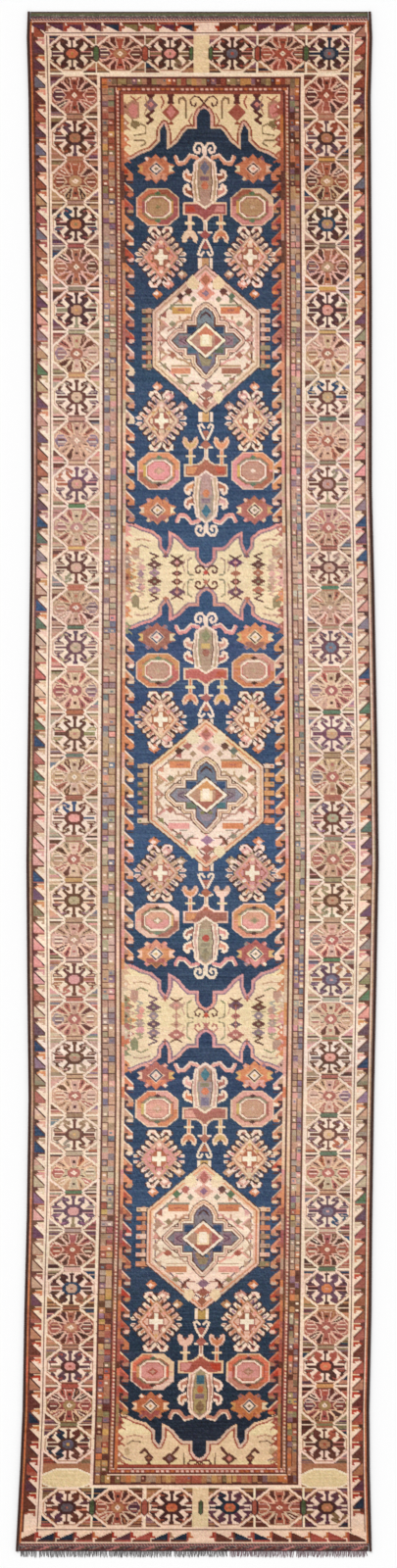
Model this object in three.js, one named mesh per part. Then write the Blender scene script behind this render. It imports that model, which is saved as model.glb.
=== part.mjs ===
// A hand-knotted wool runner rug, lying flat on its back, with its pile up.
// Units are millimetres. +X runs across the rug, +Y along it and +Z up out of the pile.
// The origin is the middle of the rug's footprint, on the surface that it lies on.
//
// The rug is a woven ground of warps and wefts. Wool knots stand on it in bands: a field, and three borders
// round the field. A corded edge closes each long side, a flat-woven apron and a twined row close
// each end, and the warps' cut ends are the fringe at the bottom end.
import * as THREE from "three";

// ---- driving dimensions ----
const LENGTH = 3660; // from the top apron's edge to the tips of the fringe
const GROUND_THICKNESS = 3.2; // warps, wefts and the backs of the knots
const PILE_HEIGHT = 6;
const GAP = 0.3; // clearance between pieces that touch

// The long edges wander a little, as a weaver's tension does. Each station gives the distance along the
// rug from its middle, and how far the left and the right edge lie from the middle warp there.
const EDGE_STATIONS = [
  { along: -1830, left: 436, right: 408 },
  { along: -1620, left: 425, right: 403 },
  { along: -1480, left: 419, right: 402 },
  { along: -1250, left: 415, right: 407 },
  { along: -1020, left: 409, right: 409 },
  { along: -740, left: 405, right: 413 },
  { along: -460, left: 408, right: 419 },
  { along: -180, left: 410, right: 424 },
  { along: 95, left: 407, right: 421 },
  { along: 465, left: 402, right: 414 },
  { along: 700, left: 399, right: 408 },
  { along: 1160, left: 400, right: 408 },
  { along: 1625, left: 405, right: 405 },
  { along: 1770, left: 409, right: 409 },
  { along: 1830, left: 407, right: 406 },
];

// Corded side edges: a bundle of cotton cords, overcast with wool.
const OVERCAST_RADIUS = 3.4;
const OVERCAST_BORE_RADIUS = 2.7;
const SIDE_CORD_RADIUS = 2.35;
const ROUND_SIDES = 12; // facets round a cord
const SELVEDGE_WIDTH = 2 * OVERCAST_RADIUS + 2 * GAP;

// Bands of knots across the rug, as shares of the width between the corded edges.
const ACROSS = {
  outerGuardLeft: 0,
  mainBorderLeft: 0.06,
  innerGuardLeft: 0.203,
  fieldLeft: 0.266,
  fieldRight: 0.751,
  innerGuardRight: 0.812,
  mainBorderRight: 0.951,
  outerGuardRight: 1,
};

// Lengths at the two ends, counted inwards from the tips.
const FRINGE_LENGTH = 15.5;
const BOTTOM_APRON_LENGTH = 12;
const TOP_APRON_LENGTH = 16;
const APRON_THICKNESS = 2.2;
const TWINED_ROW_WIDTH = 5.6;
const TWINED_ROW_THICKNESS = 3;
const OUTER_GUARD_DEPTH_TOP = 30;
const OUTER_GUARD_DEPTH_BOTTOM = 37;
const MAIN_BORDER_DEPTH = 100;
const INNER_GUARD_DEPTH = 40;

// Fringe: the warps' ends, in runs with a bare gap between them.
const FRINGE_THICKNESS = 1.6;
const FRINGE_HEADER = 2.5; // depth of the run's root, where the warps leave the apron
const FRINGE_PITCH = 9;
const FRINGE_LOCK_WIDTH = 6.6;
const FRINGE_GAPS = [0.055, 0.255, 0.44, 0.6, 0.79]; // places of the gaps, as shares of the width
const FRINGE_GAP_WIDTH = 5;

// ---- places along the rug ----
const TIP_TOP = LENGTH / 2;
const TIP_BOTTOM = -LENGTH / 2;
const ALONG = {};
ALONG.apronTopInner = TIP_TOP - TOP_APRON_LENGTH;
ALONG.pileTop = ALONG.apronTopInner - TWINED_ROW_WIDTH - 2 * GAP;
ALONG.mainBorderTop = ALONG.pileTop - OUTER_GUARD_DEPTH_TOP;
ALONG.innerGuardTop = ALONG.mainBorderTop - MAIN_BORDER_DEPTH;
ALONG.fieldTop = ALONG.innerGuardTop - INNER_GUARD_DEPTH;
ALONG.fringeRoot = TIP_BOTTOM + FRINGE_LENGTH;
ALONG.apronBottomInner = ALONG.fringeRoot + BOTTOM_APRON_LENGTH;
ALONG.pileBottom = ALONG.apronBottomInner + TWINED_ROW_WIDTH + 2 * GAP;
ALONG.mainBorderBottom = ALONG.pileBottom + OUTER_GUARD_DEPTH_BOTTOM;
ALONG.innerGuardBottom = ALONG.mainBorderBottom + MAIN_BORDER_DEPTH;
ALONG.fieldBottom = ALONG.innerGuardBottom + INNER_GUARD_DEPTH;

// The footprint's middle goes to the origin, so the middle warp stands a little to its side.
const widestLeft = Math.max(...EDGE_STATIONS.map((station) => station.left));
const widestRight = Math.max(...EDGE_STATIONS.map((station) => station.right));
const WARP_CENTRE_X = (widestLeft - widestRight) / 2;

// The edge's distance from the middle warp. Every outline takes its points at the stations, so that
// neighbouring pieces keep an even gap.
function edgeOffset(side, along) {
  const next = Math.max(1, EDGE_STATIONS.findIndex((station) => along <= station.along));
  const [a, b] = [EDGE_STATIONS[next - 1], EDGE_STATIONS[next]];
  const share = (along - a.along) / (b.along - a.along);
  return THREE.MathUtils.lerp(a[side], b[side], share);
}

function leftEdge(along) {
  return WARP_CENTRE_X - edgeOffset("left", along);
}

function rightEdge(along) {
  return WARP_CENTRE_X + edgeOffset("right", along);
}

// A share of the width between the corded edges, as an X.
function acrossX(share, along) {
  const left = leftEdge(along) + SELVEDGE_WIDTH;
  const right = rightEdge(along) - SELVEDGE_WIDTH;
  return THREE.MathUtils.lerp(left, right, share);
}

function stationsBetween(from, to) {
  const inside = EDGE_STATIONS.map((station) => station.along).filter((y) => y > from && y < to);
  return [from, ...inside, to];
}

// A flat slab between two lines that follow the rug's edges.
function bandGeometry({ across, along, bottom, thickness }) {
  const inset = GAP / 2;
  const stations = stationsBetween(along[0] + inset, along[1] - inset);
  const outline = new THREE.Shape();
  stations.forEach((y, i) => {
    const x = acrossX(across[0], y) + inset;
    if (i === 0) outline.moveTo(x, y);
    else outline.lineTo(x, y);
  });
  [...stations].reverse().forEach((y) => outline.lineTo(acrossX(across[1], y) - inset, y));
  outline.closePath();
  const geometry = new THREE.ExtrudeGeometry(outline, { depth: thickness, bevelEnabled: false });
  return geometry.translate(0, 0, bottom);
}

function roundSection(radius, boreRadius = 0) {
  const section = new THREE.Shape();
  section.absarc(0, 0, radius, 0, 2 * Math.PI);
  if (boreRadius > 0) {
    const bore = new THREE.Path();
    bore.absarc(0, 0, boreRadius, 0, 2 * Math.PI, true);
    section.holes.push(bore);
  }
  return section;
}

// A cord, or a sleeve where it has a bore, is extruded straight and then laid along the rug's edge.
function cordGeometry(side, radius, boreRadius) {
  const stations = stationsBetween(ALONG.fringeRoot, TIP_TOP);
  const steps = stations.length - 1;
  const options = { depth: steps, steps, curveSegments: ROUND_SIDES / 2, bevelEnabled: false };
  const geometry = new THREE.ExtrudeGeometry(roundSection(radius, boreRadius), options);
  const position = geometry.getAttribute("position");
  for (let i = 0; i < position.count; i += 1) {
    const y = stations[Math.round(position.getZ(i))];
    const middle = side === "left" ? leftEdge(y) + OVERCAST_RADIUS : rightEdge(y) - OVERCAST_RADIUS;
    position.setXYZ(i, middle - position.getX(i), y, OVERCAST_RADIUS + position.getY(i));
  }
  geometry.computeVertexNormals();
  return geometry;
}

// A twined row is a flat oval cord across the whole width.
function twinedRowGeometry(along) {
  const left = acrossX(0, along) + GAP / 2;
  const right = acrossX(1, along) - GAP / 2;
  const section = new THREE.Shape();
  section.absellipse(0, 0, TWINED_ROW_THICKNESS / 2, TWINED_ROW_WIDTH / 2, 0, 2 * Math.PI);
  const options = { depth: right - left, curveSegments: ROUND_SIDES / 2, bevelEnabled: false };
  const geometry = new THREE.ExtrudeGeometry(section, options);
  return geometry.rotateY(Math.PI / 2).translate(left, along, TWINED_ROW_THICKNESS / 2);
}

// A repeatable spread between 0 and 1, for locks that were never cut evenly.
function unevenness(index) {
  const wave = Math.sin(index * 12.9898) * 43758.5453;
  return wave - Math.floor(wave);
}

// One run of fringe: a narrow root with a lock of warp ends every few millimetres.
function fringeGeometry(fromShare, toShare) {
  const root = ALONG.fringeRoot - GAP;
  const left = acrossX(fromShare, root) + FRINGE_GAP_WIDTH / 2;
  const right = acrossX(toShare, root) - FRINGE_GAP_WIDTH / 2;
  const locks = Math.max(2, Math.floor((right - left) / FRINGE_PITCH));
  const pitch = (right - left) / locks;
  const side = (pitch - FRINGE_LOCK_WIDTH) / 2;
  const outline = new THREE.Shape();
  outline.moveTo(left, root);
  for (let i = 0; i < locks; i += 1) {
    const start = left + i * pitch + side;
    const end = start + FRINGE_LOCK_WIDTH;
    const tip = i === 1 ? TIP_BOTTOM : TIP_BOTTOM + 4 * unevenness(i + left);
    outline.lineTo(start, root - FRINGE_HEADER);
    outline.lineTo(start, tip);
    outline.lineTo(end, tip);
    outline.lineTo(end, root - FRINGE_HEADER);
  }
  outline.lineTo(right, root);
  outline.closePath();
  return new THREE.ExtrudeGeometry(outline, { depth: FRINGE_THICKNESS, bevelEnabled: false });
}

// ---- materials ----
function wool(color) {
  return new THREE.MeshStandardMaterial({ color, roughness: 0.95, metalness: 0 });
}

const COLOURS = {
  ground: 0xb9a78a,
  field: 0x24406b,
  innerGuard: 0xc58a63,
  mainBorder: 0xd9b08a,
  outerGuard: 0xcf9f7c,
  sideCord: 0xcfc4ae,
  overcast: 0x33201a,
  apron: 0x55483a,
  twinedRow: 0x8a5a4c,
  fringe: 0x7d7478,
};

const rug = new THREE.Group();

function add(name, geometry, color) {
  const mesh = new THREE.Mesh(geometry, wool(color));
  mesh.name = name;
  rug.add(mesh);
}

// ---- woven ground ----
const wholeWidth = [ACROSS.outerGuardLeft, ACROSS.outerGuardRight];
const groundAlong = [ALONG.pileBottom, ALONG.pileTop];
const ground = { across: wholeWidth, along: groundAlong, bottom: 0, thickness: GROUND_THICKNESS };
add("foundation_weave", bandGeometry(ground), COLOURS.ground);

// ---- knotted pile: the field, then each border as two side runs and two end runs ----
function addPile(name, across, along, color) {
  const bottom = GROUND_THICKNESS + GAP;
  add(name, bandGeometry({ across, along, bottom, thickness: PILE_HEIGHT }), color);
}

function addBorder(name, outer, inner, color) {
  addPile(`${name}_left`, [outer.left, inner.left], [outer.bottom, outer.top], color);
  addPile(`${name}_right`, [inner.right, outer.right], [outer.bottom, outer.top], color);
  addPile(`${name}_top`, [inner.left, inner.right], [inner.top, outer.top], color);
  addPile(`${name}_bottom`, [inner.left, inner.right], [outer.bottom, inner.bottom], color);
}

const pileFrame = {
  left: ACROSS.outerGuardLeft,
  right: ACROSS.outerGuardRight,
  bottom: ALONG.pileBottom,
  top: ALONG.pileTop,
};
const mainBorderFrame = {
  left: ACROSS.mainBorderLeft,
  right: ACROSS.mainBorderRight,
  bottom: ALONG.mainBorderBottom,
  top: ALONG.mainBorderTop,
};
const innerGuardFrame = {
  left: ACROSS.innerGuardLeft,
  right: ACROSS.innerGuardRight,
  bottom: ALONG.innerGuardBottom,
  top: ALONG.innerGuardTop,
};
const fieldFrame = {
  left: ACROSS.fieldLeft,
  right: ACROSS.fieldRight,
  bottom: ALONG.fieldBottom,
  top: ALONG.fieldTop,
};

addBorder("pile_outer_guard", pileFrame, mainBorderFrame, COLOURS.outerGuard);
addBorder("pile_main_border", mainBorderFrame, innerGuardFrame, COLOURS.mainBorder);
addBorder("pile_inner_guard", innerGuardFrame, fieldFrame, COLOURS.innerGuard);
const fieldAcross = [fieldFrame.left, fieldFrame.right];
addPile("pile_field", fieldAcross, [fieldFrame.bottom, fieldFrame.top], COLOURS.field);

// ---- corded side edges ----
for (const side of ["left", "right"]) {
  add(`side_cord_${side}`, cordGeometry(side, SIDE_CORD_RADIUS, 0), COLOURS.sideCord);
  add(`overcast_wrap_${side}`, cordGeometry(side, OVERCAST_RADIUS, OVERCAST_BORE_RADIUS), COLOURS.overcast);
}

// ---- ends ----
function addApron(name, along) {
  add(name, bandGeometry({ across: wholeWidth, along, bottom: 0, thickness: APRON_THICKNESS }), COLOURS.apron);
}

addApron("kilim_apron_top", [ALONG.apronTopInner, TIP_TOP]);
addApron("kilim_apron_bottom", [ALONG.fringeRoot, ALONG.apronBottomInner]);
add("twined_row_top", twinedRowGeometry((ALONG.apronTopInner + ALONG.pileTop) / 2), COLOURS.twinedRow);
add("twined_row_bottom", twinedRowGeometry((ALONG.apronBottomInner + ALONG.pileBottom) / 2), COLOURS.twinedRow);

const fringeBreaks = [0, ...FRINGE_GAPS, 1];
for (let run = 0; run < fringeBreaks.length - 1; run += 1) {
  add(`fringe_run_${run + 1}`, fringeGeometry(fringeBreaks[run], fringeBreaks[run + 1]), COLOURS.fringe);
}

export default rug;
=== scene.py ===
"""A knotted runner rug, built on the CAD frame.

A chart of knots is painted motif by motif. The pile and the back are then made from it, and the edges, the
flat-woven ends and the fringe are built beside them.
"""

import math

import bpy
import numpy as np
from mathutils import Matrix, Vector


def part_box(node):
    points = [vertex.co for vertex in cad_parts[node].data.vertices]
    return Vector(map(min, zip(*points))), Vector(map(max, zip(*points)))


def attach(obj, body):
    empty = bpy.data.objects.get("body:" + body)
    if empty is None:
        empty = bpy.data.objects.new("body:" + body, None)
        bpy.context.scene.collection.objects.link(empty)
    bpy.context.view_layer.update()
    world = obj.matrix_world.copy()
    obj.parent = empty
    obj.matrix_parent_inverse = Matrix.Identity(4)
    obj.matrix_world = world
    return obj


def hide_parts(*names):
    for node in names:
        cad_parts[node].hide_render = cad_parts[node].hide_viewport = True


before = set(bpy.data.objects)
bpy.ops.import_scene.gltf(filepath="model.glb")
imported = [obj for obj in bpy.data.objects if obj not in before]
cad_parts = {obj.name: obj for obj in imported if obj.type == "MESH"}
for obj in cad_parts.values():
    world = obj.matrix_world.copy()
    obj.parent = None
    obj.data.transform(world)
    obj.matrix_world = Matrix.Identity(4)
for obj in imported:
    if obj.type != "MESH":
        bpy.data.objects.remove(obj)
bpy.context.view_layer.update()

# ---------------------------------------------------------------------------------------------
# The knot chart
# ---------------------------------------------------------------------------------------------

# The chart is 346 knots across and 1553 rows along. A knot was chosen to be 2.32 mm, as large as one pixel of
# the photo, so places in it are places in the straightened photo: a row is the photo's row less 22.
COLUMNS = 346
ROWS = 1553

YARNS = (
    "cream", "ivory", "straw", "navy", "brick", "walnut", "orange", "plum", "slate", "olive",
    "green", "gold", "umber", "teal", "pink", "tan", "red", "mauve", "peach", "sand", "stone",
)
YARN = {name: index for index, name in enumerate(YARNS)}


class Chart:
    """The weaver's chart: one yarn for each knot, rows counted from the top end."""

    def __init__(self):
        self.knots = np.full((ROWS, COLUMNS), YARN["cream"], np.uint8)

    def box(self, yarn, left, top, right, bottom):
        rows = slice(max(0, round(top)), max(0, round(bottom)))
        self.knots[rows, max(0, round(left)):max(0, round(right))] = YARN[yarn]

    def fill(self, yarn, points):
        points = np.asarray(points, float)
        low = np.floor(points.min(0)).astype(int)
        high = np.ceil(points.max(0)).astype(int) + 1
        c0, r0 = np.maximum(low, 0)
        c1, r1 = np.minimum(high, (COLUMNS, ROWS))
        if c0 >= c1 or r0 >= r1:
            return
        across = np.arange(c0, c1)[None, :] + 0.5
        down = np.arange(r0, r1)[:, None] + 0.5
        inside = np.zeros((r1 - r0, c1 - c0), bool)
        for (x0, y0), (x1, y1) in zip(points, np.roll(points, -1, 0)):
            if y0 == y1:
                continue
            crosses = (down > y0) != (down > y1)
            inside ^= crosses & (across < x0 + (down - y0) * (x1 - x0) / (y1 - y0))
        self.knots[r0:r1, c0:c1][inside] = YARN[yarn]

    def stroke(self, yarn, points, width):
        points = np.asarray(points, float)
        reach = width / 2
        for (x0, y0), (x1, y1) in zip(points[:-1], points[1:]):
            c0 = max(0, int(min(x0, x1) - reach - 1))
            c1 = min(COLUMNS, int(max(x0, x1) + reach + 2))
            r0 = max(0, int(min(y0, y1) - reach - 1))
            r1 = min(ROWS, int(max(y0, y1) + reach + 2))
            if c0 >= c1 or r0 >= r1:
                continue
            across = np.arange(c0, c1)[None, :] + 0.5 - x0
            down = np.arange(r0, r1)[:, None] + 0.5 - y0
            run = np.array([x1 - x0, y1 - y0])
            share = np.clip((across * run[0] + down * run[1]) / max(1e-6, run @ run), 0, 1)
            near = np.hypot(across - share * run[0], down - share * run[1]) <= reach
            self.knots[r0:r1, c0:c1][near] = YARN[yarn]


class Pen:
    """Paints a figure about its own centre, in knots: x to the right, y down towards the bottom end."""

    def __init__(self, chart, column, row, wide=1.0, tall=1.0):
        self.chart = chart
        self.column = column
        self.row = row
        self.wide = wide
        self.tall = tall

    def at(self, x, y, wide=1.0, tall=1.0):
        return Pen(self.chart, self.column + x * self.wide, self.row + y * self.tall,
                   self.wide * wide, self.tall * tall)

    def place(self, points):
        return [(self.column + x * self.wide, self.row + y * self.tall) for x, y in points]

    def area(self, yarn, *points):
        self.chart.fill(yarn, self.place(points))

    def line(self, yarn, *points, width=1.4, closed=False):
        path = self.place(points)
        if closed:
            path.append(path[0])
        self.chart.stroke(yarn, path, width)

    def lozenge(self, yarn, x, y, half_x, half_y):
        self.area(yarn, (x - half_x, y), (x, y - half_y), (x + half_x, y), (x, y + half_y))

    def block(self, yarn, left, top, right, bottom):
        self.area(yarn, (left, top), (right, top), (right, bottom), (left, bottom))

    def sides(self):
        """This pen, and one that mirrors left to right."""
        return (self, Pen(self.chart, self.column, self.row, -self.wide, self.tall))

    def quarters(self):
        """The four mirrored pens."""
        return tuple(Pen(self.chart, self.column, self.row, self.wide * across, self.tall * down)
                     for across in (1, -1) for down in (1, -1))


# ---- bands across the rug, in columns of knots from the left corded edge ----
MAIN_LEFT = (19.6, 69.6)
MAIN_RIGHT = (279.4, 327.4)
FIELD_COLUMNS = (94.5, 256.0)
# ---- bands along the rug, in rows of knots from the top end ----
TOP_ROW_CENTRE = 33.5
BOTTOM_ROW_CENTRE = 1516
FIELD_ROWS = (73, 1476)

# Octagons along each side: the weft is beaten harder towards the bottom end, so they get shorter.
OCTAGONS = 34
OCTAGON_STATIONS = (0, 5, 10, 13, 16, 19, 22, 28, 33)
OCTAGON_ROWS = (76, 295, 517, 639, 771, 897, 1018, 1253, 1451.5)


def octagon_row(number):
    return float(np.interp(number, OCTAGON_STATIONS, OCTAGON_ROWS))


def octagon_corners(half_x, half_y, flat_x, flat_y):
    return ((-flat_x, -half_y), (flat_x, -half_y), (half_x, -flat_y), (half_x, flat_y),
            (flat_x, half_y), (-flat_x, half_y), (-half_x, flat_y), (-half_x, -flat_y))


# ---------------- main border ----------------
CELL_X, CELL_Y = 25.0, 21.5
WORN_ROWS = (300, 1230)


def leaf(pen, yarn, edge, *points):
    """A leaf with a light or dark outline one knot wide."""
    pen.area(yarn, *points)
    pen.line(edge, *points, width=1.1, closed=True)


def hooked_star(pen, pick, worn):
    """The bold figure: a dark cross with paired leaves, and an arrow head on each diagonal."""
    main = pick("walnut", "walnut", "plum", "walnut") if worn else pick("umber", "walnut", "umber", "plum")
    darks = (main, main, main, main, pick("brick", "plum", "navy", "olive"))
    light = pick("stone", "tan", "mauve", "sand") if worn else pick("walnut", "brick", "plum")
    thick = 1.5 if worn else 2.2
    for side in pen.sides():
        stem = pick(*darks)
        side.block(stem, 6, -thick, 20.5, thick)
        for up in (1, -1):
            side.area(
                pick(*darks), (11.4, 2.9 * up), (14.6, 6.4 * up), (19, 7.6 * up), (22.4, 5.2 * up),
                (20.8, 2.8 * up),
            )
            side.line(light, (14.4, 4.6 * up), (20, 5 * up), width=1.3)
            side.line(pick("pink", "cream", "cream"), (9.6, 2.2 * up), (19.6, 2.1 * up), width=1.1)
    for quarter in pen.quarters():
        dark = pick(*darks)
        quarter.line(dark, (4, -4.6), (10.2, -10.6), width=2 * thick)
        quarter.line(dark, (17.8, -9.4), (12.8, -15.4), (6, -12.4), width=2.4 + thick)
        quarter.line(light, (15.8, -11), (12.4, -14), (8.4, -13), width=1.4)
        quarter.line(pick("cream", "peach", "olive"), (14.4, -10.6), (12.2, -13.2), width=1.2)
    for down in (1, -1):
        dark = pick(*darks)
        pen.line(dark, (0, -6 * down), (0, -16.6 * down), width=2.2)
        pen.block(dark, -2.8, -17.4 * down, 2.8, -14.6 * down)
    pen.area(main if worn else pick("plum", "umber", "navy", "umber"), *octagon_corners(9.4, 7, 4.4, 3))
    heart = pick("tan", "sand", "stone", "slate", "pink") if worn else pick(
        "tan", "orange", "pink", "slate", "orange",
    )
    pen.area(heart, *octagon_corners(5.6, 4.6, 2.8, 2))
    pen.block(pick("gold", "brick", "olive", "pink"), -1.4, -1.2, 1.4, 1.2)


def pinwheel(pen, pick, worn):
    """The finer figure: outlined leaves of brick and rose round a small light centre."""
    soft = ("tan", "tan", "brick", "sand", "tan", "mauve") if worn else (
        "brick", "brick", "walnut", "brick", "plum",
    )
    deep = ("tan", "brick", "walnut", "tan", "brick") if worn else ("walnut", "brick", "umber", "walnut")
    edge = "peach"
    pen.area(pick("sand", "tan") if worn else "brick", *octagon_corners(23.6, 20, 9.5, 7.4))
    for quarter in pen.quarters():
        quarter.line("walnut", (3, -5.4), (12, -16), width=1.1)
        quarter.line("walnut", (7.4, -3), (21, -9), width=1.1)
    for side in pen.sides():
        leaf(
            side, pick(*soft), edge, (9, 0), (13.5, -6), (19.5, -7), (23, -1.6), (23, 1.6), (19.5, 7),
            (13.5, 6),
        )
        for y, yarn in (
            (-3.2, pick("cream", "sand")), (-1.2, pick("umber", "walnut", "brick")), (1.2, "cream"),
            (3.2, pick("walnut", "brick", "tan")),
        ):
            side.line(yarn, (12.5, y), (19.5, y), width=1.1)
    for quarter in pen.quarters():
        leaf(quarter, pick(*deep), edge, (5, -4.6), (10.4, -5), (20.6, -9.6), (16.4, -13.8), (11.6, -12.6))
        quarter.line(pick("umber", "cream", "walnut"), (9.6, -7.6), (15.6, -11.4), width=1.1)
        leaf(
            quarter, pick(*deep), edge, (2.6, -6.6), (5.4, -7), (11.4, -14), (9.6, -18.6), (5, -18.8),
            (4, -12.4),
        )
        quarter.line(pick("umber", "walnut", "tan"), (6.6, -12.4), (8, -16), width=1.4)
    for down in (1, -1):
        pen.block(pick("umber", "walnut", "brick"), -1.8, -13.6 * down, 1.8, -11 * down)
        pen.line(edge, (-2, -17 * down), (2, -17 * down), width=1.2)
    pen.area(pick("brick", "tan", "brick"), *octagon_corners(6.6, 5.2, 3, 2))
    pen.lozenge("cream", 0, 0, 3.4, 2.8)
    pen.block(pick("pink", "tan", "green", "slate"), -0.9, -0.9, 0.9, 0.9)


CORNER_YARNS = ("mauve", "walnut", "tan", "plum", "brick", "olive", "tan", "navy", "walnut", "tan", "umber")
WORN_CORNERS = (
    "sand", "tan", "sand", "brick", "sand", "olive", "mauve", "slate", "pink", "tan", "walnut", "stone",
)
LOZENGE_YARNS = ("tan", "olive", "brick", "olive", "tan", "gold", "sand", "brick", "green", "stone")


def octagon_cell(pen, bold, pick, worn):
    corner_yarns = WORN_CORNERS if worn else CORNER_YARNS
    pen.block("tan", -CELL_X, -CELL_Y, CELL_X, CELL_Y)
    for quarter in pen.quarters():
        quarter.area(pick(*corner_yarns), (9.5, -CELL_Y), (CELL_X, -CELL_Y), (CELL_X, -6))
        quarter.block(pick(*corner_yarns), 14, -CELL_Y, CELL_X, -CELL_Y + 5)
        quarter.line(
            pick("umber", "tan", "walnut", "olive"), (12.5, -CELL_Y + 2), (CELL_X, -CELL_Y + 2), width=1.2,
        )
        quarter.line(
            pick("tan", "sand", "pink", "walnut"), (18, -CELL_Y + 6), (CELL_X, -CELL_Y + 6), width=1.1,
        )
    corners = octagon_corners(CELL_X - 0.4, CELL_Y - 1.6, 9.5, 7.2)
    pen.area("cream" if bold else "peach", *corners)
    (hooked_star if bold else pinwheel)(pen, pick, worn)
    pen.line("tan", *octagon_corners(CELL_X - 1.8, CELL_Y - 3.2, 9, 6.6), width=1.0, closed=True)
    for quarter in pen.quarters():
        quarter.line("walnut", (10.4, -CELL_Y + 0.6), (CELL_X + 0.4, -6.4), width=1.1)
    pen.line("cream", *corners, width=2.2, closed=True)


def lozenge_bar(pen, yarn, edge):
    """The flat bar that joins one octagon to the next."""
    pen.block(edge, -8.6, -2.6, 8.6, 2.6)
    pen.area(yarn, (-9.6, 0), (-8, -1.7), (8, -1.7), (9.6, 0), (8, 1.7), (-8, 1.7))


def upright_bar(pen, yarn):
    pen.area("umber", (0, -9), (3.4, -6), (3.4, 6), (0, 9), (-3.4, 6), (-3.4, -6))
    pen.area(yarn, (0, -7.8), (2.2, -5.4), (2.2, 5.4), (0, 7.8), (-2.2, 5.4), (-2.2, -5.4))


def main_border(chart, pick):
    chart.box("tan", 18, 12, 70, ROWS - 12)
    chart.box("tan", 279, 12, 329, ROWS - 12)
    for left, right in (MAIN_LEFT, MAIN_RIGHT):
        middle = (left + right) / 2
        half_x = (right - left) / 2
        for k in range(OCTAGONS):
            row = octagon_row(k)
            half_y = (octagon_row(k + 0.5) - octagon_row(k - 0.5)) / 2
            if k == 0 or k == OCTAGONS - 1:
                half_y = 21.5 if k == 0 else 19.7
            worn = WORN_ROWS[0] < row < WORN_ROWS[1]
            octagon_cell(Pen(chart, middle, row, half_x / CELL_X, half_y / CELL_Y), k % 2 == 1, pick, worn)
        for k in range(OCTAGONS - 1):
            row = (octagon_row(k) + octagon_row(k + 1)) / 2
            pen = Pen(chart, middle, row)
            pen.line("cream", (-half_x, 0), (-8, 0), width=1.4)
            pen.line("cream", (8, 0), (half_x, 0), width=1.4)
            lozenge_bar(pen, pick(*LOZENGE_YARNS), pick("walnut", "umber", "brick"))
        pen = Pen(chart, middle, 1487)
        pen.area("straw", *octagon_corners(half_x, 10, 11, 4))
        pen.line("ivory", *octagon_corners(half_x, 10, 11, 4), width=1.6, closed=True)
    end_row(chart, pick, TOP_ROW_CENTRE, 20.3, (43, 92, 143, 206.5, 258, 305.5), (-10, 10))
    end_row(chart, pick, BOTTOM_ROW_CENTRE, 20.5, (46, 96.5, 150.5, 208.5, 258, 305.5), (0,))


END_ROW_BOLD = (True, False, True, True, False, True)
END_BARS = (("green", 0, 1), ("brick", 1, 2), ("mauve", 2, 3), ("brick", 3, 4), ("green", 4, 5))


def end_row(chart, pick, row, half_y, centres, gap_bars):
    chart.box("cream", 18, row - half_y, 329, row + half_y)
    for centre, bold in zip(centres, END_ROW_BOLD):
        octagon_cell(Pen(chart, centre, row, 1.0, half_y / CELL_Y), bold, pick, False)
    for yarn, first, second in END_BARS:
        column = (centres[first] + centres[second]) / 2
        pen = Pen(chart, column, row)
        if second == 3:
            pen.block("straw", -8, -half_y, 8, half_y)
            for across in gap_bars:
                upright_bar(pen.at(across, 0, 0.7, 0.9), pick("green", "olive"))
            continue
        pen.line("ivory", (0, -half_y), (0, half_y), width=1.6)
        upright_bar(pen, yarn)
    for at in (row - half_y, row + half_y):
        chart.stroke("ivory", [(20, at), (327, at)], 1.6)


# ---------------- field: contours between the blue ground and the cream panels ----------------
MIDDLE = 177.5
HALF_CONTOUR = ((4, 2.5), (7, 8), (7, 21), (17, 21), (21, 25), (27, 34), (34, 40), (38, 42), (38, 25),
                (41, 16), (45, 22), (46, 34), (55, 43), (66, 47), (74, 52), (89, 55))
# The row of the middle pinnacle's tip, which way the blue ground lies, and how tall the contour is.
CONTOURS = (
    (89, 1, 1.0), (554, -1, 0.8), (581, 1, 0.74), (1007, -1, 0.85), (1031, 1, 0.76), (1466, -1, 0.85),
)


def contour(tip, way, tall):
    right = [(MIDDLE + x, tip + way * y * tall) for x, y in HALF_CONTOUR]
    left = [(2 * MIDDLE - x, y) for x, y in reversed(right)]
    return [*left, (MIDDLE, tip), *right]


def grounds(chart):
    """Cream panels, the banded contours, then the three blue grounds."""
    left, right = FIELD_COLUMNS
    top, bottom = FIELD_ROWS
    chart.box("straw", left, top, right, bottom)
    paths = [contour(*each) for each in CONTOURS]
    for number, path in enumerate(paths):
        at_end = number in (0, len(paths) - 1)
        chart.stroke("brick" if at_end else "mauve", path, 8.0)
        chart.stroke("peach" if at_end else "pink", path, 4.8)
    for upper, lower in zip(paths[::2], paths[1::2]):
        chart.fill("navy", [*upper, *reversed(lower)])


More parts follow.
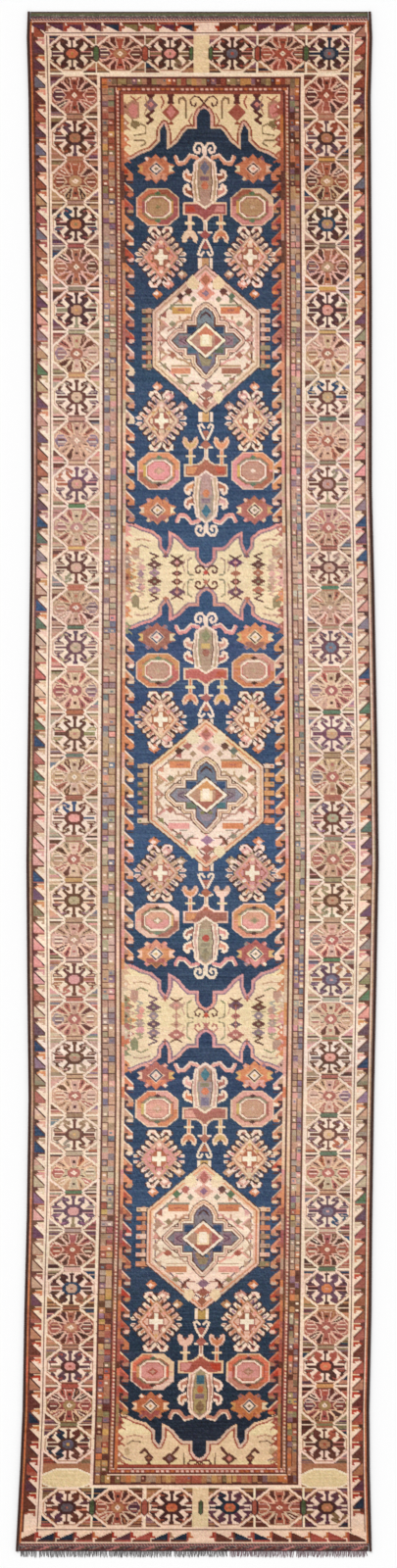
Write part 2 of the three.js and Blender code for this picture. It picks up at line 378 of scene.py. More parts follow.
# ---------------- field: figures ----------------
def star(pen, pick):
    warm = pick("orange", "orange", "brick")
    pen.area(warm, (-9, -13), (-4.5, -10.5), (0, -15.4), (4.5, -10.5), (9, -13), (11.5, -7), (
        19, -3.6,
    ), (15, 0), (19, 3.6),
             (11.5, 7), (9, 13), (4.5, 10.5), (0, 15.4), (-4.5, 10.5), (-9, 13), (-11.5, 7), (-19, 3.6), (
                 -15, 0,
             ), (-19, -3.6), (-11.5, -7))
    pen.area(
        pick("pink", "brick", "orange"), (-10, 5), (10, 5), (8, 11.5), (4.5, 9.5), (0, 14), (-4.5, 9.5),
        (-8, 11.5),
    )
    for side in pen.sides():
        side.area(pick("straw", "gold", "peach"), (13.5, -3.6), (19, -3.2), (16, 0), (19, 3.2), (13.5, 3.6))
    for quarter in pen.quarters():
        quarter.lozenge(pick("mauve", "peach", "cream", "pink"), 9.4, -10.4, 2.4, 2.2)
        quarter.line("brick", (4.4, -9.4), (6, -6.5), width=1.2)
    pen.lozenge(pick("peach", "straw"), 0, 0, 8.6, 8)
    pen.lozenge(pick("umber", "navy", "umber"), 0, 0, 7.2, 6.6)
    pen.lozenge("cream", 0, 0, 5.4, 4.8)
    pen.lozenge(pick("olive", "gold", "pink"), 0, 0, 2.4, 2)


def rosette(pen, pick):
    """An octagon of nested bands with a small cut corner on each slope."""
    outline = (
        (-10.5, -19), (10.5, -19), (22, -9.5), (22, 9.5), (10.5, 19), (-10.5, 19), (-22, 9.5), (-22, -9.5),
    )

    def band(yarn, wide, tall):
        pen.area(yarn, *[(x * wide, y * tall) for x, y in outline])

    band("peach", 1.0, 1.0)
    band("pink", 0.95, 0.94)
    for quarter in pen.quarters():
        quarter.area(
            pick("pink", "orange", "peach", "orange", "brick"), (1, -18), (10, -18), (20.6, -9), (20.6, -1),
            (14.6, -1), (14.6, -7), (8, -12.5), (1, -12.5),
        )
    band("brick", 0.76, 0.74)
    band(pick("olive", "tan", "olive"), 0.72, 0.7)
    for side in pen.sides():
        side.area(pick("orange", "gold", "brick"), (13.4, -6), (16, -6), (16, 6), (13.4, 6))
    for down in (1, -1):
        pen.lozenge(pick("green", "umber"), 0, -14 * down, 4, 2.2)
    band("cream", 0.62, 0.6)
    band("brick", 0.54, 0.51)
    band(pick("pink", "tan", "pink"), 0.5, 0.46)
    pen.lozenge(pick("brick", "tan"), 0, 0, 6, 4.4)
    pen.lozenge(pick("olive", "cream", "sand"), 0, 0, 3, 2.4)


PETAL_STEPS = (0.14, 0.38, 0.62, 0.86)


def palmette(pen, pick):
    """A diamond of pale petals with dark gaps round a rosy heart and a cream cross, curls at both points."""
    for quarter in pen.quarters():
        for step in PETAL_STEPS:
            x, y = 17.5 * step, -22 * (1 - step)
            out_x, out_y = x + 5.6, y - 4.2
            quarter.line("umber", (x, y), (out_x, out_y), width=6.2)
            quarter.line(pick("cream", "peach"), (x, y), (out_x, out_y), width=3.8)
            quarter.line(
                pick("pink", "brick", "orange", "mauve", "tan"), (x * 0.8, y * 0.8), (x + 3.8, y - 3),
                width=2.0,
            )
        quarter.line("umber", (1, -24), (6, -29.5), (11, -27.5), width=5.6)
        quarter.line("cream", (1, -24), (5.5, -29.5), (10.5, -29), (11, -26), width=3.2)
        quarter.line(pick("pink", "brick"), (4.6, -27.4), (7.4, -28.4), width=1.5)
        quarter.area("cream", (19, -1.2), (23, -5.4), (26.6, -4), (25, -1.2))
        quarter.line(pick("pink", "brick"), (20.5, -2.4), (24, -3.4), width=1.2)
    pen.lozenge("tan", 0, 0, 19, 23)
    pen.lozenge(pick("peach", "pink", "peach"), 0, 0, 17, 21)
    for quarter in pen.quarters():
        quarter.line(pick("brick", "orange", "tan"), (0, -17), (13.5, 0), width=1.5)
        quarter.lozenge(pick("cream", "gold", "pink"), 8, -8.5, 2.4, 2.4)
        quarter.line("walnut", (3.4, -11.5), (3.4, -4), (9.5, -4), width=1.0)
    pen.area(
        "brick", (-3.4, -9.6), (3.4, -9.6), (8.4, -3.6), (8.4, 3.6), (3.4, 9.6), (-3.4, 9.6), (-8.4, 3.6),
        (-8.4, -3.6),
    )
    pen.area("ivory", (-2, -8.4), (2, -8.4), (2.4, -2.6), (6.8, -2.2), (6.8, 2.2), (2.4, 2.6), (
        2, 8.4,
    ), (-2, 8.4), (-2.4, 2.6),
             (-6.8, 2.2), (-6.8, -2.2), (-2.4, -2.6))
    for down in (1, -1):
        pen.lozenge(pick("peach", "gold", "cream"), 0, -15 * down, 2.6, 2.6)
        pen.lozenge("umber", 0, -28.5 * down, 2, 2.4)


def vase(pen, pick, scroll=True):
    """A vase seen from its mouth (up) to the forked foot that meets the medallion."""
    for side in pen.sides():
        if scroll:
            side.line(
                "cream", (1, -52), (1.5, -60), (4, -63.5), (8.5, -63), (11, -58.5), (9.5, -54), (6, -53.5),
                (4.5, -56), (6, -58), width=2.5,
            )
        side.line("pink", (8, -48), (15, -50.5), (21, -42.5), (27, -42), (30, -48.5), width=4.0)
        side.line("cream", (8, -50), (15, -52), (22, -44.5), (26.5, -44), (29, -50), width=1.3)
        for row in (-30, -15):
            side.area(
                "cream", (11, row - 1), (16, row - 2), (15.5, row - 4.5), (18, row - 6.5), (22, row - 4),
                (23, row + 1), (21, row + 5), (13, row + 9), (11, row + 6),
            )
            side.area(
                pick("brick", "pink", "orange"), (12, row + 1), (18, row + 0.5), (18.5, row - 3),
                (20.5, row - 1), (20, row + 3), (13, row + 6.5),
            )
    # the body, pointed at the mouth and at the foot
    for yarn, wide, tall in (("cream", 14.0, 1.0), ("sand", 12.2, 0.95)):
        body = ((0, -51.5), (wide - 3, -43.5), (wide, -22), (wide - 2.5, -2), (0, 4))
        pen.area(yarn, *[(x, y * tall) for x, y in body], *[(-x, y * tall) for x, y in body[-2:0:-1]])
    pen.area(
        "stone", (-6.6, -42), (0, -47.5), (6.6, -42), (7.6, -22), (5.6, -4), (0, 0), (-5.6, -4), (-7.6, -22),
    )
    pen.area(pick("teal", "slate", "olive"), (0, -45), (5, -38), (0, -30), (-5, -38))
    pen.block(pick("olive", "mauve", "gold"), -4.5, -29, 4.5, -24)
    pen.area(
        pick("red", "brick", "orange"), (-2, -23), (2, -23), (4, -19), (2, -15.5), (-2, -15.5), (-4, -19),
    )
    pen.block(pick("slate", "teal", "stone"), -3.6, -13, 3.6, -4)
    for side in pen.sides():
        side.line("cream", (7.6, -42), (8.8, -22), (6.8, -4), (0, 1), width=1.4)
        side.line(pick("olive", "walnut"), (6.4, -41), (7.4, -22), (5.4, -6), width=1.0)
        side.line("walnut", (12.6, -30), (14, -22), (12.4, -8), width=1.0)
    # the foot
    foot = ((11, -2), (22.6, -1.5), (22.6, 11.5), (9, 12), (4, 15.5), (1.5, 20))
    pen.area("peach", *foot, *[(-x, y) for x, y in reversed(foot)])
    foot = ((11.5, -0.4), (21, 0), (21, 10), (8, 10.4), (2.6, 14), (0, 19))
    pen.area("brick", *foot, *[(-x, y) for x, y in reversed(foot[:-1])])
    for side in pen.sides():
        side.area(pick("red", "pink", "brick", "orange"), (12, 2), (19.6, 1.6), (19.6, 8.6), (9, 8.6))
    pen.area("cream", (-11, -3), (11, -3), (0, 5.5))
    pen.area("stone", (-8, -3), (8, -3), (0, 2.6))
    pen.line("cream", (0, 18), (0, 32), width=3.4)
    pen.line("tan", (0, 19), (0, 31), width=1.2)
    for side in pen.sides():
        side.line("cream", (1, 29), (6.5, 29.5), width=2)
        side.line("cream", (1, 37), (5.5, 46), (7.5, 52), (4.5, 53.5), (2, 50), width=2.2)
        side.area("brick", (0, 38), (4, 46), (0, 47))
        limb = pick("gold", "orange", "peach")
        side.line("peach", (16, 12), (16, 28), width=4.4)
        side.line(limb, (16, 12), (16, 28), width=2.6)
        side.area(
            "peach", (16, 25.5), (21.5, 29), (24.4, 35), (23, 40.5), (19.5, 39), (18.5, 35.4), (13.5, 35.4),
            (12.5, 39), (9, 40.5), (7.6, 35), (10.5, 29),
        )
        side.area(
            limb, (16, 27.5), (20.5, 30.4), (22.4, 35), (21.4, 37.5), (19, 33.6), (13, 33.6), (10.6, 37.5),
            (9.6, 35), (11.5, 30.4),
        )
        side.line("straw", (12, 20), (20, 20), width=2.4)
        side.lozenge("walnut", 16, 35.2, 2, 1.6)
        side.block("cream", 4.2, 56, 7.4, 67)
    pen.lozenge("brick", 0, 32, 5.5, 5.5)
    pen.block(pick("gold", "orange"), -3.6, 56, 3.6, 67)


def medallion(pen, pick):
    """The six-sided medallion: combs, claws, nested rings, pendants and a stepped cross."""
    outline = ((0, -76), (54, -29), (54, 26), (0, 73), (-54, 26), (-54, -29))

    def ring(yarn, wide, tall):
        pen.area(yarn, *[(x * wide, y * tall) for x, y in outline])

    # side combs, the blue ground showing between their teeth
    for side in pen.sides():
        side.block("tan", 57, -33, 60, 30)
        side.block("walnut", 60, -33, 61.4, 30)
        for tooth in range(7):
            row = -32 + 9.3 * tooth
            side.block(pick("tan", "orange", "olive", "peach"), 53, row, 66, row + 4.4)
            side.block("umber", 54, row + 4.4, 65.4, row + 5.6)
            side.block(pick("pink", "olive", "orange"), 62, row + 1.2, 65, row + 3.2)
    # claws along the slopes
    for quarter in pen.quarters():
        for x, y, yarn in ((50, -47, "orange"), (24, -67, "tan"), (38, -57, "pink")):
            quarter.lozenge(yarn, x, y, 5.5, 5)
            quarter.lozenge("cream", x + 1, y - 1, 3, 2.5)
            quarter.lozenge("umber", x - 1.5, y + 3.5, 1.5, 1.5)
    ring("umber", 1.04, 1.03)
    ring("peach", 1.02, 1.015)
    ring(pick("orange", "tan"), 0.985, 0.976)
    ring("peach", 0.96, 0.95)
    ring("cream", 0.925, 0.915)
    ring(pick("walnut", "plum"), 0.885, 0.872)
    ring("cream", 0.862, 0.846)
    for quarter in pen.quarters():
        for step in range(5):
            x, y = 47 - 8.4 * step, -25 - 7.3 * step
            quarter.area(pick("tan", "pink", "olive", "brick"), (x, y), (x - 6.4, y - 5.4), (x - 6, y + 2.2))
    for side in pen.sides():
        side.line("tan", (49, -22), (41, -14), (49, -8), (42, 0), (49, 8), (41, 14), (49, 22), width=2.0)
        side.line("pink", (45, -20), (38.5, -14), width=1.6)
        side.line("pink", (45, 20), (38.5, 14), width=1.6)
        side.line("brick", (49, 0), (41, 0), width=1.4)
        for down in (1, -1):
            scroll = ((12, -21), (17, -24), (23, -20), (29, -19), (33, -13), (39, -10))
            side.line(pick("pink", "tan"), *[(x, y * down) for x, y in scroll], width=2.2)
            side.line("walnut", (22, -16.5 * down), (27, -14 * down), (31, -9.5 * down), width=1.2)
    # pendants at both points
    pen.lozenge("pink", 0, -62, 7.5, 8.5)
    pen.lozenge("brick", 0, -62, 5, 6)
    pen.lozenge("pink", 0, -48, 9.5, 8)
    pen.lozenge("mauve", 0, -48, 4, 3.5)
    pen.lozenge("mauve", 1, 46, 6.5, 5)
    pen.lozenge("brick", 1, 55, 7.5, 4.5)
    pen.lozenge("brick", 0, 64, 4.5, 5.5)
    pen.lozenge("pink", 0, 38, 3, 4)
    for side in pen.sides():
        side.area("straw", (13, -67), (18, -62), (20, -57), (14, -51.5), (8, -53), (6.5, -59))
        side.area("straw", (13, 65), (18, 59), (17, 53), (11, 51), (7, 57))
        side.lozenge(pick("green", "umber"), 26.5, -45, 4.2, 4.2)
        side.lozenge(pick("walnut", "brick"), 18, -50, 4.6, 4)
        side.lozenge("olive", 13, -42, 3.4, 3.4)
        side.block("olive", 14, -37, 37, -35)
        side.block(pick("orange", "orange", "gold"), 15, -34.5, 35, -27.5)
        side.block("brick", 22, -32, 29, -30.5)
        side.block("tan", 18, -25, 20, -21)
        side.block("tan", 26, -25, 28, -21)
        side.lozenge("olive", 34.5, -17, 4, 3.4)
        side.lozenge("tan", 46, -14, 3.2, 4)
        side.lozenge("pink", 47, -2, 2.8, 3.2)
        side.lozenge("tan", 46, 10, 3.2, 4)
        side.lozenge("brick", 34.5, 15, 4.4, 3.8)
        side.block("tan", 14, 25, 36, 26.8)
        side.block(pick("orange", "pink", "brick"), 16, 28, 36, 34)
        side.block("olive", 18, 35, 26, 36.5)
        side.lozenge("olive", 26, 42, 4.2, 3)
        side.line(pick("walnut", "olive"), (13, 42), (17.5, 45), (20, 50), width=2.4)
        side.line("brick", (8, 44), (15, 44), width=1.8)
    # the stepped cross and its bands
    cross = ((0, -33), (5.5, -29), (8.6, -23), (8.6, -14.4), (19, -14.4), (19, -6.6), (
        28, -6.6,
    ), (34.5, 0), (28, 6.6),
             (19, 6.6), (19, 13.6), (9.6, 13.6), (9, 23), (0, 33.5))
    cross = [*cross, *[(-x, y) for x, y in cross[-2:0:-1]]]
    for yarn, width in (("walnut", 12.6), ("peach", 10.6), ("tan", 7.4), ("cream", 5.4), ("walnut", 2.6)):
        pen.line(yarn, *cross, width=width, closed=True)
    pen.area("slate", *cross)
    pen.area(
        "umber", (0, -30), (5, -26), (6.4, -21), (3.6, -24.5), (0, -27.5), (-3.6, -24.5), (-6.4, -21),
        (-5, -26),
    )
    pen.area(pick("mauve", "olive"), (-8, 14), (8, 14), (4, 26), (-4, 26))
    for side in pen.sides():
        side.block("mauve", 19, -5.4, 28, 5.4)
        side.line("plum", (21, -3.4), (27, 0), (21, 3.4), width=1.3)
        side.block(pick("teal", "navy", "green"), 9.6, 7, 18.6, 13)
        side.block("navy", 9.6, -14, 18.6, -7)
        side.block(pick("olive", "teal"), 2, 16, 6, 19)
    pen.lozenge("umber", 0, 0, 22, 19.5)
    pen.lozenge("ivory", 0, 0, 20.5, 18)
    pen.lozenge("tan", 0, 0, 17, 14.8)
    pen.area("orange", (-9, -7), (0, -14.6), (9, -7), (6, -5), (-6, -5))
    pen.area("brick", (-9, 7), (0, 14.6), (9, 7), (6, 5), (-6, 5))
    pen.area("brick", (9, -6.5), (16.5, 0), (9, 6.5))
    pen.block("straw", -6, -5, 6, 6)
    pen.block("ivory", -3.5, -6.5, 3.5, 4)


# Each unit: its medallion's column, row and size, how far above and below it its stars, rosettes and
# palmettes sit, and whether its vases have scrolls.
UNITS = (
    (177.8, 326, 1.0, 1.0, (175, 136, 85), (173, 133, 82), True),
    (176.8, 789.5, 1.04, 1.0, (161, 127, 77), (162, 128, 79.5), True),
    (177.0, 1241.5, 1.03, 1.0, (166, 132, 81), (171, 136, 85), False),
)
STAR_OUT, ROSETTE_OUT, PALMETTE_OUT = 50, 48.5, 46


def units(chart, pick):
    for column, row, wide, tall, above, below, scroll in UNITS:
        for way, (star_at, rosette_at, palmette_at) in ((-1, above), (1, below)):
            shrink = star_at / 175
            vase_at = Pen(chart, column, row + way * (star_at - 36 * shrink), 1.0, -way * shrink * 0.98)
            vase(vase_at, pick, scroll)
            for side in (-1, 1):
                star(Pen(chart, column + side * STAR_OUT, row + way * star_at, 1.0, 0.98), pick)
                rosette(Pen(chart, column + side * ROSETTE_OUT, row + way * rosette_at, 1.0, shrink), pick)
                palmette(
                    Pen(chart, column + side * PALMETTE_OUT, row + way * palmette_at, 1.0, shrink), pick,
                )
        medallion(Pen(chart, column, row, wide, tall), pick)


# ---------------- field: what fills the cream panels ----------------
def scroll_pair(pen, yarn):
    for side in pen.sides():
        side.line(yarn, (0, 2), (5, -4), (10, -5), (14, -1), (13, 4), (9, 5), (8, 2), width=1.7)
        side.line(yarn, (0, 2), (4, 7), width=1.5)


def top_figures(chart, pick):
    """The top panel, figures hanging from the end border."""
    pen = Pen(chart, MIDDLE, FIELD_ROWS[0] + 2)
    scroll_pair(pen.at(0, 7), "walnut")
    for side in pen.sides():
        side.line("olive", (25.5, 9), (25.5, 5), (21, 3.4), (18.5, 7), (18.5, 24), width=2.5)
        side.area("walnut", (30, 0), (38, 0), (36, 5), (38, 10), (30, 10), (32, 5))
        side.lozenge("brick", 34, 18.5, 9, 10)
        side.lozenge(pick("pink", "brick", "red"), 34, 18, 5, 6)
        side.area("brick", (34, 26), (37, 31), (31, 31))
        side.area("walnut", (50, 0), (59, 0), (56.5, 4), (56.5, 8), (52.5, 8), (52.5, 4))
        side.lozenge(pick("plum", "mauve"), 54.5, 11, 8, 7)
        side.lozenge("pink", 54.5, 10.5, 3, 2.6)
        side.line("walnut", (52, 17), (59, 22), (53, 26), (58, 29.5), width=3.0)
        side.line("olive", (69, 33), (65, 30), (60, 33), (60, 40), (72, 42), width=1.6)
        side.line("olive", (72, 47), (62, 47), (60, 50), (65, 53), width=1.6)
        side.area("tan", (66, 9), (72, 5), (78, 9), (80, 20), (74, 26), (66, 24))
        side.area("pink", (68, 12), (73, 9), (77, 13), (77, 21), (71, 24), (68, 20))
        side.line("brick", (65, 3), (70, 6), (75, 2), width=1.5)
        side.area("olive", (66, 28), (74, 26), (76, 32), (70, 36))
        side.line("brick", (44, 2), (41, 8), (44, 14), width=1.4)
        side.line("tan", (60, 3), (58, 12), (61, 20), width=1.3)
        side.line("brick", (12, 20), (16, 27), (12, 33), width=1.3)


def bottom_figures(chart, pick):
    """The bottom panel, figures standing on the end border."""
    pen = Pen(chart, MIDDLE, 1466)
    for side in pen.sides():
        dark = pick("walnut", "brick")
        side.line(dark, (22, -11), (25, -7), (29, -3), width=3.0)
        side.area(dark, (30, -6), (38, 0), (30, 6), (22, 0))
        side.area(pick("pink", "mauve"), (30, -2.6), (33.4, 0), (30, 2.6), (26.6, 0))
        side.area(dark, (30, 4), (34, 10), (26, 10))
        dark = pick("walnut", "plum")
        side.line(dark, (59, -6), (55.5, -10), (51, -4), width=2.6)
        side.area(
            dark, (51, -6), (56, -1), (52, 4), (56, 8), (56, 10), (46, 10), (46, 8), (49.5, 4), (46, -1),
        )
        side.lozenge("tan", 51, -0.5, 2.2, 1.6)
        side.line("olive", (16, -5), (15.6, 7), width=1.7)
        side.line("walnut", (0, 6), (4, 2), (9.5, 2), (11.5, 5), (8, 7), (4, 6), (0, 2.5), width=1.5)
        side.line("brick", (85, -3), (78, 4), (70, 7), (67, 10.5), width=1.5)
        side.line("mauve", (84, -7), (76, -1), (69, 2), width=1.4)
        side.area("sand", (72, -12), (76, -9), (74, -3), (69, -5))
        side.line("sand", (58, -22), (66, -24), (74, -22), width=1.6)
        side.line("olive", (60, -17), (68, -18), (73, -15), width=1.3)


def zigzag_chain(pen, pick, dark, light):
    """Lozenges and bars one below the other, with a crooked tail at each end."""
    for y, size, yarn in ((-13, 6.5, dark), (-4.5, 4.4, light), (4, 6.2, dark), (13, 5.2, light)):
        pen.line("olive", (-size, y + 4.4), (size, y + 4.4), width=1.2)
        pen.lozenge(yarn, 0, y, size + 1.6, 4.6)
        pen.block(pick("tan", "peach", "olive"), -1.4, y - 1, 1.4, y + 1)
    for down in (1, -1):
        pen.line(dark, (5, 25 * down), (-4, 21.5 * down), (4, 18 * down), (-2, 15.6 * down), width=1.8)


def brick_chain(pen, pick):
    for y, size in ((-15, 7), (-4, 4.4), (4.5, 4.8), (15, 7.4)):
        yarn = pick("brick", "walnut", "tan", "plum")
        pen.lozenge(yarn, 0, y, size + 1.4, size * 0.8)
        pen.lozenge(pick("pink", "peach", "walnut"), 0, y, size * 0.4, size * 0.3)
    pen.line("brick", (0, -14), (0, 14), width=1.4)
    for down in (1, -1):
        pen.line("walnut", (-6, 22.5 * down), (0, 19 * down), (6, 22.5 * down), width=1.6)


def panel_figures(chart, pick, row):
    """A panel between two blue grounds: the same figures back to back."""
    pen = Pen(chart, MIDDLE, row)
    for down in (1, -1):
        half = Pen(chart, MIDDLE, row, 1.0, down)
        scroll_pair(half.at(0, -8, 0.8, 0.8), pick("walnut", "brick"))
        half.lozenge(pick("brick", "red"), 0, -5, 3, 3)
        for side in half.sides():
            side.line("olive", (13, -2), (18, -3), (19, -7), (19, -17), (15, -20), width=1.7)
            side.line("tan", (22, -6), (24, -12), (22, -18), width=1.4)
    for side in pen.sides():
        brick_chain(side.at(30, 0), pick)
        zigzag_chain(side.at(53, 0), pick, pick("walnut", "plum"), pick("mauve", "walnut", "brick"))
        zigzag_chain(side.at(67, 0, 0.7, 0.8), pick, pick("sand", "stone"), pick("mauve", "pink"))
        for step in range(-3, 4):
            reach = 9 - abs(step)
            side.area(
                pick("brick", "pink", "brick", "tan", "orange"), (82, step * 7 - 5), (78 - reach, step * 7),
                (82, step * 7 + 5),
            )
            side.lozenge(pick("peach", "olive", "cream"), 76, step * 7, 2, 2)
        for down in (-1, 1):
            side.area(
                pick("olive", "tan"), (68, 22 * down), (72, 17 * down), (77, 22 * down), (75, 31 * down),
                (68, 30 * down),
            )
            side.line("olive", (59, 30 * down), (66, 33 * down), (70, 31 * down), width=1.5)
            side.line("tan", (57, 37 * down), (66, 39 * down), (73, 38 * down), width=1.5)
            side.lozenge(pick("pink", "tan"), 65, 10 * down, 3.4, 4)
            side.line("brick", (41.5, 25 * down), (41.5, 19.5 * down), width=1.2)
            side.line(pick("plum", "brick"), (39, 21.5 * down), (44, 21.5 * down), width=1.2)


# ---------------- field: latch hooks down both sides ----------------
HOOKS = 84


def hook_row(number):
    return FIELD_ROWS[0] + 8 + (FIELD_ROWS[1] - FIELD_ROWS[0] - 12) * (number + 0.5) / HOOKS


PANEL_ROWS = ((73, 142), (510, 622), (960, 1072), (1424, 1476))


def in_panel(row):
    return any(low <= row <= high for low, high in PANEL_ROWS)


def latch_hook(pen, body, warm, curl, highlight):
    """A leaf with a sloping top and a hook curled back under it, about 10 across and 15 along."""
    pen.area(
        body, (-0.5, -7.6), (1, -7), (9.2, 0.8), (10, 4.4), (8.6, 7.2), (3, 7.2), (2, 5), (4.4, 3.8),
        (4.4, 1.8), (-0.5, 1.2),
    )
    pen.line(highlight, (0.6, -6.8), (9, 1.2), width=1.2)
    pen.area(warm, (-0.5, -4.6), (3, -3.6), (5, 0.6), (-0.5, 1))
    pen.area("umber", (-0.5, 1.3), (4.4, 1.5), (4.6, 3.4), (2.2, 4.4), (1.6, 6.4), (-0.5, 5.6))
    pen.area(curl, (3.2, 4.4), (8.8, 3.8), (9.8, 5.6), (8.8, 7.2), (4.6, 7.4))
    pen.line("umber", (-0.3, 6.6), (3.6, 9.2), (8.8, 9.4), width=1.4)


def edge_leaf(pen, yarn, dot):
    """Beside a pale panel the hooks shrink to low leaves."""
    pen.area(yarn, (-1, -8), (3.6, -4.5), (6.5, -1), (3, 1), (4.5, 4.5), (-1, 7))
    pen.line(yarn, (3, 2.6), (7, 5.6), width=1.4)
    pen.lozenge(dot, 2, -1.5, 1.6, 1.8)


FRESH_EDGE_YARNS = {
    "leaf": ("brick", "orange", "brick", "tan"),
    "body": ("brick", "orange", "brick", "red"),
    "warm": ("brick", "red", "orange"),
    "curl": ("orange", "peach", "tan"),
    "highlight": ("peach", "orange"),
}
WORN_EDGE_YARNS = {
    "leaf": ("brick", "pink", "orange", "sand", "olive"),
    "body": ("orange", "pink", "tan", "orange", "peach"),
    "warm": ("orange", "brick", "tan"),
    "curl": ("cream", "peach", "orange"),
    "highlight": ("cream", "peach"),
}


def field_edges(chart, pick):
    pitch = (FIELD_ROWS[1] - FIELD_ROWS[0]) / HOOKS
    for column, way in ((94.6, 1), (255.9, -1)):
        for number in range(HOOKS):
            row = hook_row(number)
            fresh = row < 330 or row > 1150
            pen = Pen(chart, column, row, way, pitch / 16.4)
            yarns = FRESH_EDGE_YARNS if fresh else WORN_EDGE_YARNS
            if in_panel(row):
                edge_leaf(pen, pick(*yarns["leaf"]), pick("cream", "walnut", "pink"))
                continue
            latch_hook(pen, *(pick(*yarns[part]) for part in ("body", "warm", "curl", "highlight")))


def field(chart, pick):
    grounds(chart)
    top_figures(chart, pick)
    bottom_figures(chart, pick)
    panel_figures(chart, pick, 567.5)
    panel_figures(chart, pick, 1019)
    field_edges(chart, pick)
    units(chart, pick)


# ---------------- guard borders ----------------
GUARD_YARNS = (
    "stone", "sand", "tan", "stone", "tan", "tan", "sand", "stone", "tan", "pink", "mauve", "slate",
)
FRESH_GUARD_YARNS = (
    "tan", "tan", "brick", "stone", "mauve", "olive", "brick", "orange", "tan", "stone", "walnut", "gold",
)


def inner_guard(chart, pick):
    """Pairs of small blocks between light and dark lines, round all four sides."""
    rows = (57.0, 1492.5)
    steps = 230
    for step in range(steps):
        top = rows[0] + (rows[1] - rows[0]) * step / steps
        bottom = rows[0] + (rows[1] - rows[0]) * (step + 1) / steps
        for left, right in ((73, 84.6), (265.4, 276.4)):
            guard_block(chart, pick, left, top, right, bottom)
    for step in range(20):
        left = 73 + (276.4 - 73) * step / 20
        right = 73 + (276.4 - 73) * (step + 1) / 20
        guard_block(chart, pick, left, 58, right, 66)
        guard_block(chart, pick, left, 1483, right, 1491.5)
    frame_lines = (
        (68, 280, 55, 1495, "cream", 2), (71, 277, 57, 1493, "walnut", 2),
        (85, 266, 66, 1482, "walnut", 2), (87, 264, 68, 1480, "peach", 3),
        (90, 261, 71, 1476, "walnut", 2), (92, 259, 72, 1475, "brick", 3),
    )
    for left, right, top, bottom, yarn, width in frame_lines:
        chart.box(yarn, left, top, left + width, bottom)
        chart.box(yarn, right - width, top, right, bottom)
        chart.box(yarn, left, top, right, top + width)
        chart.box(yarn, left, bottom - width, right, bottom)
    line_patches(chart, pick)
    dotted = ((88, 1477, 263, 1480), (88, 68, 263, 71))
    for left, top, right, bottom in dotted:
        chart.box("brick", left, top, right, bottom)
        for column in range(left + 1, right - 2, 5):
            chart.box(pick("peach", "orange", "peach"), column, top + 1, column + 3, bottom)


def line_patches(chart, pick):
    """The weaver changed yarn often in the lines beside the field; near the ends one line is dotted."""
    row = FIELD_ROWS[0]
    while row < FIELD_ROWS[1] - 12:
        tall = pick(7, 11, 16, 23)
        fresh = row < 330 or row > 1180
        if fresh:
            inner = pick("orange", "brick", "tan", "orange", "brick", "walnut")
            outer = pick("brick", "tan", "brick")
        else:
            inner = pick("peach", "orange", "peach", "pink", "sand")
            outer = pick("peach", "sand", "peach")
        for inside, outside in ((92, 87), (256, 261)):
            chart.box(inner, inside, row, inside + 3, row + tall)
            chart.box(outer, outside, row, outside + 3, row + tall)
            for dot in range(row, row + tall, 4):
                if fresh:
                    chart.box("peach", outside + 1, dot, outside + 3, dot + 2)
        row += tall


def guard_block(chart, pick, left, top, right, bottom):
    """Two small blocks side by side, here and there with a dark edge or a light dot."""
    yarns = FRESH_GUARD_YARNS if top < 170 or top > 1200 else GUARD_YARNS
    middle = (left + right) / 2
    for first, second in ((left, middle), (middle, right)):
        chart.box(pick(*yarns), first, top, second, bottom)
        if pick(True, True, False):
            chart.box(pick("umber", "walnut", "tan"), first, bottom - 1, second, bottom)
        if pick(True, False, False):
            chart.box(pick("peach", "slate", "sand", "cream"), first + 1.5, top + 2, second - 1.5, top + 4)
    if pick(True, False):
        chart.box("walnut", middle - 0.5, top, middle + 0.5, bottom)


def running_hook(pen, body, edge, head, bar):
    """One hook, 11 across and 17 along: a leaf with a dark slope and flat foot, and a small head under it."""
    pen.area(body, (-1, -12.5), (1.2, -10.6), (10.8, -0.8), (10.8, 0.8), (-1, 0.8))
    pen.line(edge, (-0.5, -12), (1.2, -10.6), (10.4, -1.2), width=1.3)
    pen.line(bar, (-0.5, 0.6), (10.8, 0.6), width=1.4)
    pen.area(edge, (-1, 0), (3.4, 1), (3.6, 3.4), (1.6, 5), (-1, 5.4))
    pen.area(head, (3.6, 2.4), (11.6, 2.4), (11.6, 6), (9.4, 8), (7.4, 7.6), (7.6, 5.4), (3.6, 5.2))
    pen.line(head, (0, 5.6), (3.6, 4), width=1.6)
    pen.block("straw", 4.6, 1.4, 10.4, 2.4)


OUTER_HOOKS = 88
WORN_HOOKS = (
    "sand", "pink", "tan", "sand", "mauve", "tan", "green", "olive", "brick", "pink", "plum", "navy",
)


